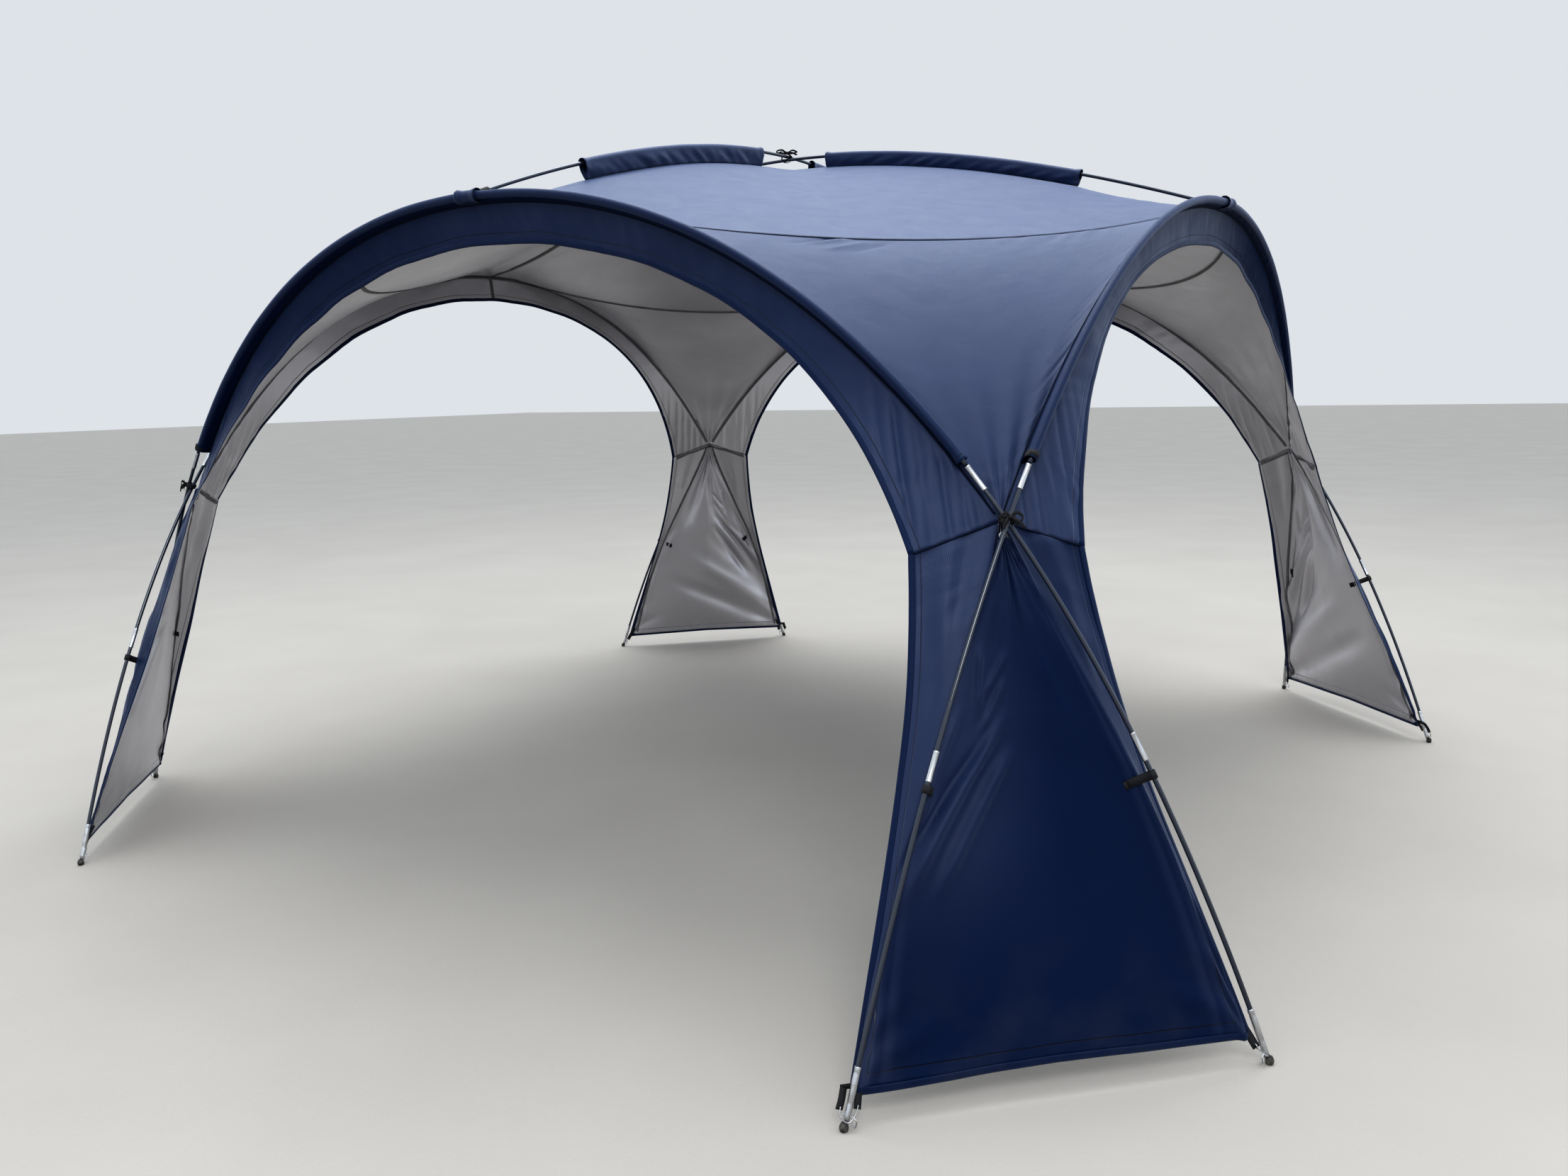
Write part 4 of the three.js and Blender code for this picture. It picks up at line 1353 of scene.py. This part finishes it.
# %% Shapes of the tube, the rubber and the wires
TUBE_PROFILE = [
    (0.016, 0.0045), (0.016, 0.0066), (0.030, 0.0070), (0.052, 0.0070), (0.055, 0.0064), (0.058, 0.0070),
    (0.112, 0.0070), (0.115, 0.0064), (0.118, 0.0070), (0.126, 0.0072), (0.127, 0.0069), (0.127, 0.0056),
]
BALL_PROFILE = [
    (0.0, 0.0), (0.0, 0.0062), (0.0016, 0.0082), (0.0060, 0.0096), (0.0110, 0.0092), (0.0150, 0.0072),
    (0.0175, 0.0060), (0.0175, 0.0),
]
RING_PATHS = {  # up the pole, towards the sheet and out from the corner
    "right": [
        (0.049, 0.017, 0.005), (0.036, 0.014, 0.006), (0.024, 0.003, 0.010), (0.021, -0.004, 0.000),
        (0.026, 0.004, -0.009), (0.037, 0.015, -0.004), (0.050, 0.018, -0.003), (0.049, 0.017, 0.005),
    ],
    "left": [
        (0.052, -0.020, 0.003), (0.037, -0.018, 0.006), (0.025, -0.008, 0.009), (0.021, 0.002, 0.010),
        (0.026, 0.010, 0.008), (0.038, 0.016, 0.005), (0.050, 0.017, 0.003),
    ],
}
PIN_HEIGHT = 0.030
PIN_PATH = [  # along y, along z and through the rod
    (0, 0, -0.012), (0, 0, 0), (0, 0, 0.014), (-0.021, -0.006, 0), (-0.017, -0.020, 0), (-0.011, -0.012, 0),
]
WIRE_RADIUS = 0.0014
WIRE_HINT = Vector((0.31, 0.52, 0.80))


def wire(points, steps):
    """A bent wire through a few points."""
    run = Draped(points)

    def at(share):
        return run.at(min(max(share, 0.0), 1.0))

    return rod(at, 0.0, 1.0, WIRE_RADIUS, WIRE_HINT, steps, 8)


# %% Feet
for quarter, side in enumerate(SIDES):
    for hand, line, mirror in (("right", pole_point, 1), ("left", left_pole_point, -1)):
        foot = line(0.0)
        tube = spun(TUBE_PROFILE, stood_on(foot, direction(line, 0.07), ARCH_NORMAL))
        ball = spun(BALL_PROFILE, stood_on(foot, UP, ARCH_NORMAL))
        pin_at = line(PIN_HEIGHT)
        pin = wire([pin_at + Vector((0, y, z)) + ARCH_NORMAL * through for y, z, through in PIN_PATH], 40)
        sheet_way = Vector((-mirror, -1, 0)).normalized()
        outer_way = Vector((mirror, -1, 0)).normalized()
        path = [line(up) + sheet_way * aside + outer_way * out for up, aside, out in RING_PATHS[hand]]
        ring = wire(path, 50)
        metal, node = [tube, pin, ring], f"{side}_arch_{hand}_foot"
        piece(f"{side}_{hand}_foot_tube", quarter, metal, [zinc], [node])
        piece(f"{side}_{hand}_foot_rubber", quarter, [ball], [rubber])
print("feet:", 2 * len(SIDES))

# %% [markdown]
# The leg sheet is held to each pole twice. Below the first ferrule a band of black webbing goes round the
# rod and comes back to the cloth, where it is sewn on. Its path is drawn in a plane square to the pole: out
# along one side, round, and back. At the ground, webbing is sewn to the sheet's corner and hangs down beside
# the foot tube, where the wire holds it. On one foot of each corner a second end passes behind the tube. A
# small steel eyelet sits in the cloth right under the tie.

# %% A strap round the rod
STRAP_WIDTH = 0.018
STRAP_SPARE = 0.022
STRAP_RADIUS = ROD_RADIUS + 0.0018
LOOP_START, LOOP_END = radians(40), radians(320)


def corner_line(across):
    if across > 0:
        return pole_point
    return lambda distance: Matrix.Rotation(QUARTER, 3, "Z") @ left_pole_point(distance)


def loop_path(centre, towards, across, reach):
    """Out from the cloth beside the rod, round it, and back on the other side."""

    def beside(share, side):
        spread = side * STRAP_RADIUS * 0.35 * min(1, share * 2.5)
        return centre + towards * lerp(reach, STRAP_RADIUS * 0.6, share) + across * spread

    turn = [
        centre + towards * STRAP_RADIUS * cos(angle) + across * STRAP_RADIUS * sin(angle)
        for angle in (lerp(LOOP_START, LOOP_END, step / 18) for step in range(19))
    ]
    out = [beside(step / 5, 1) for step in range(5)]
    back = [beside(1 - step / 5, -1) for step in range(1, 6)]
    return out + turn + back


def hold(across, distance):
    """A strap from the leg sheet round the rod, and its spare end that stands off the cloth."""
    line = corner_line(across)
    centre = line(distance)
    down = last_where(lambda share: leg_point(across, share).z > centre.z, 0, 1)
    sewn = leg_point(across, down)
    along = direction(line, distance)
    towards = sewn - centre
    towards -= along * towards.dot(along)
    reach = towards.length
    towards.normalize()
    loop = loop_path(centre, towards, along.cross(towards), reach)
    off = outwards(sewn)
    spare = [
        centre + towards * (reach + STRAP_SPARE * step / 6) + off * (0.004 + 0.003 * sin(step))
        for step in range(7)
    ]
    return [strap(path, along, STRAP_WIDTH) for path in (loop, spare)]


# %% Webbing at a foot
def foot_webbing(across):
    """Webbing from the sheet's corner down to the foot. On the left foot one end passes behind the tube."""
    line = corner_line(across)
    outer_way = Vector((1, -1, 0)).normalized()
    sheet_way = Vector((-1, -1, 0)).normalized() * across

    def beside(distance, side, lift):
        return line(distance) + sheet_way * side + outer_way * lift

    def hanging_end(top, low, width):
        path = [top.lerp(low, step / 6) + outer_way * 0.003 * sin(pi * step / 6) for step in range(7)]
        return strap(path, outer_way.cross((low - top).normalized()), width)

    sewn = leg_point(across * 0.93, 0.975) - outer_way * 0.006
    shapes = [hanging_end(sewn, beside(0.041, 0.017, 0.001), 0.018)]
    if across < 0:
        behind, low = beside(0.083, -0.018, -0.009), beside(0.045, -0.021, 0.000)
        shapes.append(hanging_end(behind, low, 0.016))
        bar = [beside(0.083, lerp(0.016, -0.024, step / 8), -0.0105) for step in range(9)]
        shapes.append(strap(bar, UP, 0.011))
    return shapes


# %% Straps, webbing and eyelets on the legs
STRAP_ACROSS = 0.65
STRAP_HEIGHT = 0.676
EYELET_DOWN = 0.045
EYELET_PROFILE = [(-0.002, 0.0046), (0.0008, 0.0050), (0.0018, 0.0064), (0.0010, 0.0082), (-0.001, 0.0088)]

for quarter, corner in enumerate(CORNERS):
    shapes = []
    for across in (1, -1):
        shapes += hold(across * STRAP_ACROSS, STRAP_HEIGHT - 0.009 * across)
        shapes += foot_webbing(across)
    piece(f"{corner}_leg_straps", quarter, shapes, [webbing])
    eye_at = leg_point(0, EYELET_DOWN)
    eye = spun(EYELET_PROFILE, stood_on(raised(eye_at, 0.002), outwards(eye_at), UP))
    piece(f"{corner}_eyelet", quarter, [eye], [zinc])
print("strap pieces at each corner:", len(shapes), "and an eyelet under the tie")

# %% [markdown]
# Where the poles cross, a ribbon is wound round both of them and tied in a bow, and the same is done where
# the roof poles cross. A ribbon is a thin strap along a smooth path: the winding, two loops and two tails.

# %% A bow of ribbon
def ribbon_strip(points, breadth, width, steps=28):
    run = Draped(points)
    return strap([run.at(step / steps) for step in range(steps + 1)], breadth, width, RIBBON_THICKNESS)


def tied_bow(centre, across, out, up, size, winding):
    """A bow of ribbon at centre. across is the way its loops point and out is away from the cloth."""
    shapes = []
    wide, deep = winding
    for tilt in (-0.18, 0.16):
        path = [
            centre + across * wide * cos(angle) - out * deep * sin(angle) + up * tilt * size * cos(angle)
            for angle in (tau * step / 36 for step in range(37))
        ]
        shapes.append(strap(path, up, 0.008, RIBBON_THICKNESS))
    knot = centre + out * (deep + 0.003)

    def at(sideways, outward, upward):
        return knot + across * sideways + out * outward + up * upward

    ball = [at(-0.008, 0, 0), at(0, 0.006, 0), at(0.008, 0, 0), at(0, -0.002, 0), at(-0.008, 0, 0)]
    shapes.append(ribbon_strip(ball, up, 0.009, 20))
    for way in (-1, 1):
        reach = way * size
        loop = [
            knot,
            at(reach * 0.5, 0.010, 0.006),
            at(reach, 0.006, -0.004),
            at(reach * 0.55, 0.002, -0.016),
            knot,
        ]
        shapes.append(ribbon_strip(loop, (up + out * 0.5).normalized(), 0.008))
        tail = [knot, at(reach * 0.45, 0.006, -0.010), at(reach * (0.95 + 0.2 * way), 0, -0.026)]
        breadth = (up * 0.4 + across * 0.6 * way + out * 0.3).normalized()
        shapes.append(ribbon_strip(tail, breadth, 0.007, 16))
    return shapes


# %% Ribbon ties
crossing_at = pole_point(CROSSING).lerp(corner_line(-1)(CROSSING), 0.5)
tie_up = Vector((-0.2906, 0.2906, 0.912)).normalized()
tie_across = Vector((1, 1, 0)).normalized()
tie_out = -tie_up.cross(tie_across).normalized()
if tie_out.dot(outwards(crossing_at)) < 0:
    tie_out.negate()
for quarter, corner in enumerate(CORNERS):
    shapes = tied_bow(crossing_at, tie_across, tie_out, tie_up, 0.026, (0.0185, 0.0155))
    piece(f"{corner}_ribbon_tie", quarter, shapes, [ribbon], [f"{corner}_corner_tie"])

roof_tie_up = Vector((1, -1, 0)).normalized()
shapes = tied_bow(UP * ROOF_TOP, tie_across, UP, roof_tie_up, 0.038, (0.019, 0.0155))
piece("roof_ribbon_tie", 0, shapes, [ribbon], ["roof_tie"])
print("bows:", len(CORNERS) + 1)

# %% [markdown]
# At each apex the end of the roof pole sits in a short pocket of doubled webbing that is sewn to the arch's
# sleeve. The two sleeves of an arch meet there, and a collar of canopy cloth covers the gap between them.

# %% Pockets at the apex
COLLAR_SEED = 120
COLLAR_START, COLLAR_END = HALF - 0.036, HALF + 0.036
COLLAR_RADIUS = 0.0142
POCKET_PROFILE = [
    (-0.0034, 0.0), (-0.0034, 0.0086), (0.0, 0.0090), (0.044, 0.0090), (0.045, 0.0084), (0.045, 0.0066),
    (0.002, 0.0064), (0.002, 0.0),
]

for quarter, side in enumerate(SIDES):
    line = roof_line(quarter)
    inwards = -direction(line, roof_half.length - 0.001)
    cup = spun(POCKET_PROFILE, stood_on(line(roof_half.length), inwards, RIGHTWARDS))
    piece(f"{side}_apex_cup", quarter, [cup], [webbing], [f"{side}_apex_pocket"])
    # The collar keeps the sleeve's default painted shade on its sides below the pole.
    collar = sleeve(
        pole_point, under_pole, COLLAR_START, COLLAR_END, 16, COLLAR_SEED + quarter, 0.0, COLLAR_RADIUS
    )
    piece(f"{side}_apex_collar", quarter, [collar], [navy, navy], cloth=SLEEVE_CLOTH)
print("pockets:", len(SIDES))

# %% [markdown]
# The cut edges are bound with a folded strip of the canopy cloth, and the sheets are joined with flat
# seams. Both are rolled along their edge with a flattened section: wide in the cloth's plane and thin
# across it. The binding hides the cloth's cut edge. The seams leave the thin dark lines that divide the
# canopy: at the waist, from the tie up to the sleeves, and round the roof sheet.

# %% Bindings of the hoods
HEM_BINDING = (0.0075, 0.0017)


def folded_hem(quarter):
    """The hem line of a side's hood, on its folds."""

    def at(distance):
        width = hem_way(distance).length
        return raised(hem_edge(distance), hood_folds(width, distance, width, HOOD_SEED + quarter))

    return at


for quarter, side in enumerate(SIDES):
    hem = folded_hem(quarter)
    roll = binding(hem, CROSSING + 0.003, 2 * HALF - CROSSING - 0.003, hem_way, HEM_BINDING, 280)
    # The hem binding carries the binding painted shade.
    piece(f"{side}_hem_binding", quarter, [roll], [navy])

# %% Bindings and waist seams of the legs
GROUND_BINDING = (0.0085, 0.0018)
WAIST_SEAM = (0.0020, 0.0012)
TIE_SEAM = (0.0022, 0.0010)
TIE_SEAM_START, TIE_SEAM_END = CROSSING + 0.02, SLEEVE_START + 0.02

for quarter, corner in enumerate(CORNERS):
    lay = lay_leg(quarter)
    rolls = [
        binding(
            lambda down: lay((side + 1) / 2, 1 - down)[0],
            -0.004,
            0.996,
            lambda down: leg_point(side, down) - leg_point(side * 0.9, down),
            HEM_BINDING,
            110,
        )
        for side in (-1, 1)
    ]
    rolls.append(binding(lambda share: lay(share, 0)[0], 0.002, 0.998, UP, GROUND_BINDING, 120))
    piece(f"{corner}_leg_bindings", quarter, rolls, [navy])
    seams = [binding(lambda share: raised(lay(share, 1)[0], 0.0006), 0.002, 0.998, UP, WAIST_SEAM, 160)]
    seams += [
        binding(
            lambda distance: raised(on_side(cloth_edge(distance)), 0.0012),
            TIE_SEAM_START,
            TIE_SEAM_END,
            lambda distance: on_side(hem_way(distance)),
            TIE_SEAM,
            30,
        )
        for on_side in (Vector, across_corner)
    ]
    piece(f"{corner}_waist_seam", quarter, seams, [seam_tape])

# %% Seams round the roof sheet
ROOF_SEAM = (0.0036, 0.0013)


def seam_line(across):
    return raised(corner_point(ROOF_SEAM_AT, across), 0.0008)


def below_seam(across):
    return corner_point(ROOF_SEAM_AT - 0.05, across)


for quarter, corner in enumerate(CORNERS):
    roll = binding(
        seam_line, -0.998, 0.998, lambda across: below_seam(across) - seam_line(across), ROOF_SEAM, 160
    )
    piece(f"{corner}_roof_seam", quarter, [roll], [seam_tape])

# %% [markdown]
# From inside, the seams are covered with sealing tape: along each roof seam and each arch seam, down each
# hood at its apex, up the ridge under each roof sleeve, round the waist, and down the creases of each leg.
# It is flat, one to two centimetres wide, and lies a few millimetres below the lining.

# %% Tape below a seam
TAPE_THICKNESS = 0.0005
CREASE_DEPTH = 0.0055
WAIST_DEPTH = 0.0046


def tape_inside(surface_at, start, end, way_at, width, steps, depth=0.0026):
    """A flat tape below a surface. way_at is the way its width points, one for all or a function."""
    path, ways = [], []
    for step in range(steps + 1):
        share = lerp(start, end, step / steps)
        path.append(raised(surface_at(share), -depth))
        ways.append((way_at(share) if callable(way_at) else way_at).normalized())
    return strap(path, ways, width, TAPE_THICKNESS)


def roof_seam_tape():
    def seam_at(across):
        return corner_point(ROOF_SEAM_AT, across)

    return tape_inside(
        seam_at, -0.99, 0.99, lambda across: below_seam(across) - seam_at(across), 0.013, 90
    )


def hood_tapes(quarter):
    lay = lay_hood(quarter)

    def at(u, v):
        return lay(u, v)[0]

    return [
        tape_inside(lambda v: at(0.5, v), 0.03, 0.95, RIGHTWARDS, 0.018, 20),
        tape_inside(lambda u: at(u, 0.965), 0.005, 0.995, lambda u: at(u, 0.90) - at(u, 0.97), 0.013, 200),
    ]


def leg_tapes(quarter):
    lay = lay_leg(quarter)

    def at(u, v):
        return lay(u, v)[0]

    waist = tape_inside(
        lambda u: at(u, 0.985), 0.01, 0.99, lambda u: at(u, 1.0) - at(u, 0.97), 0.014, 60, WAIST_DEPTH
    )
    creases = [
        tape_inside(
            lambda down: at((across + 1) / 2, 1 - down),
            0.01,
            0.99,
            lambda down: leg_point(across + 0.04, down) - leg_point(across - 0.04, down),
            0.009,
            90,
            CREASE_DEPTH,
        )
        for across in (-CREASE_SHARE, CREASE_SHARE)
    ]
    return [waist] + creases


# %% Sealing tape inside
for quarter, side in enumerate(SIDES):
    ridge = tape_inside(lambda share: roof_surface(0.0, share), 0.05, 0.99, RIGHTWARDS, 0.020, 60)
    shapes = [ridge, roof_seam_tape()] + hood_tapes(quarter) + leg_tapes(quarter)
    piece(f"{side}_inside_tapes", quarter, shapes, [lining_tape])
print("tapes on each side:", len(shapes))

# %% [markdown]
# The cuts are not rectangles, so each also gives its own area.

def cloth_area(thing):
    return sum(face.area for face in thing.data.polygons)


for cloths in ([roof_cloth], corner_cloths, leg_cloths, hood_cloths, arch_sleeves, roof_sleeves):
    print(cloths[0].name, round(cloth_area(cloths[0]), 3), "square metres")

# %% [markdown]
# The floor is plain and pale. The light is that of a bright studio: one very large soft lamp above the
# shelter, a weaker one in front of the near corner, and an even pale world. The backdrop is that same
# world, dimmed for the camera alone. The navy cloth then shows slate blue where it faces up and almost
# black where it faces the camera; on the leg sheets, hoods and sleeves a painted shade deepens that black.

# %% Floor
FLOOR_DROP = 0.0005


def pale_floor():
    finish, tree, surface = new_finish("pale_floor", Specular_IOR_Level=0.2, Roughness=0.85)
    place = real_place(tree)
    patches = ramp_between(tree, mottle(tree, place, 1.3, 6.0), 0.3, 0.7)
    grain = mottle(tree, place, 160.0, 2.0)
    colour = blended(tree, patches, (0.345, 0.327, 0.305, 1), (0.364, 0.346, 0.323, 1))
    tree.links.new(colour, surface.inputs["Base Color"])
    tree.links.new(bumped(tree, grain, 0.0006), surface.inputs["Normal"])
    return finish


floor_shape = bmesh.new()
bmesh.ops.create_grid(floor_shape, x_segments=8, y_segments=8, size=60)
floor_mesh = bpy.data.meshes.new("studio_floor")
floor_shape.to_mesh(floor_mesh)
floor_shape.free()
floor_mesh.materials.append(pale_floor())
floor = bpy.data.objects.new("studio_floor", floor_mesh)
floor.location.z = -FLOOR_DROP
bpy.context.scene.collection.objects.link(floor)
print("floor:", floor.name)

# %% Light
def soft_lamp(name, place, target, size, power):
    data = bpy.data.lights.new(name, "AREA")
    data.shape = "DISK"
    data.size = size
    data.energy = power
    lamp = bpy.data.objects.new(name, data)
    aim_at = (Vector(target) - Vector(place)).to_track_quat("-Z", "Y").to_matrix().to_4x4()
    lamp.matrix_world = Matrix.Translation(place) @ aim_at
    bpy.context.scene.collection.objects.link(lamp)


soft_lamp("lamp_above", (-0.3, 1.2, 9.3), (0, 0.5, 0), 8.0, 510)
soft_lamp("lamp_in_front", (4.5, -6.0, 6.0), (0.3, -0.3, 0.6), 3.0, 200)

world = bpy.data.worlds.new("pale_world")
world.use_nodes = True
tree = world.node_tree
in_view = add_node(tree, "ShaderNodeLightPath").outputs["Is Camera Ray"]
glow = blended(tree, in_view, (0.95, 1.01, 1.07, 1), (0.54, 0.56, 0.585, 1))
tree.links.new(glow, tree.nodes["Background"].inputs["Color"])
bpy.context.scene.world = world
bpy.context.scene.view_settings.view_transform = "Standard"
bpy.context.scene.view_settings.look = "High Contrast"
print("lamps:", len(bpy.data.lights))
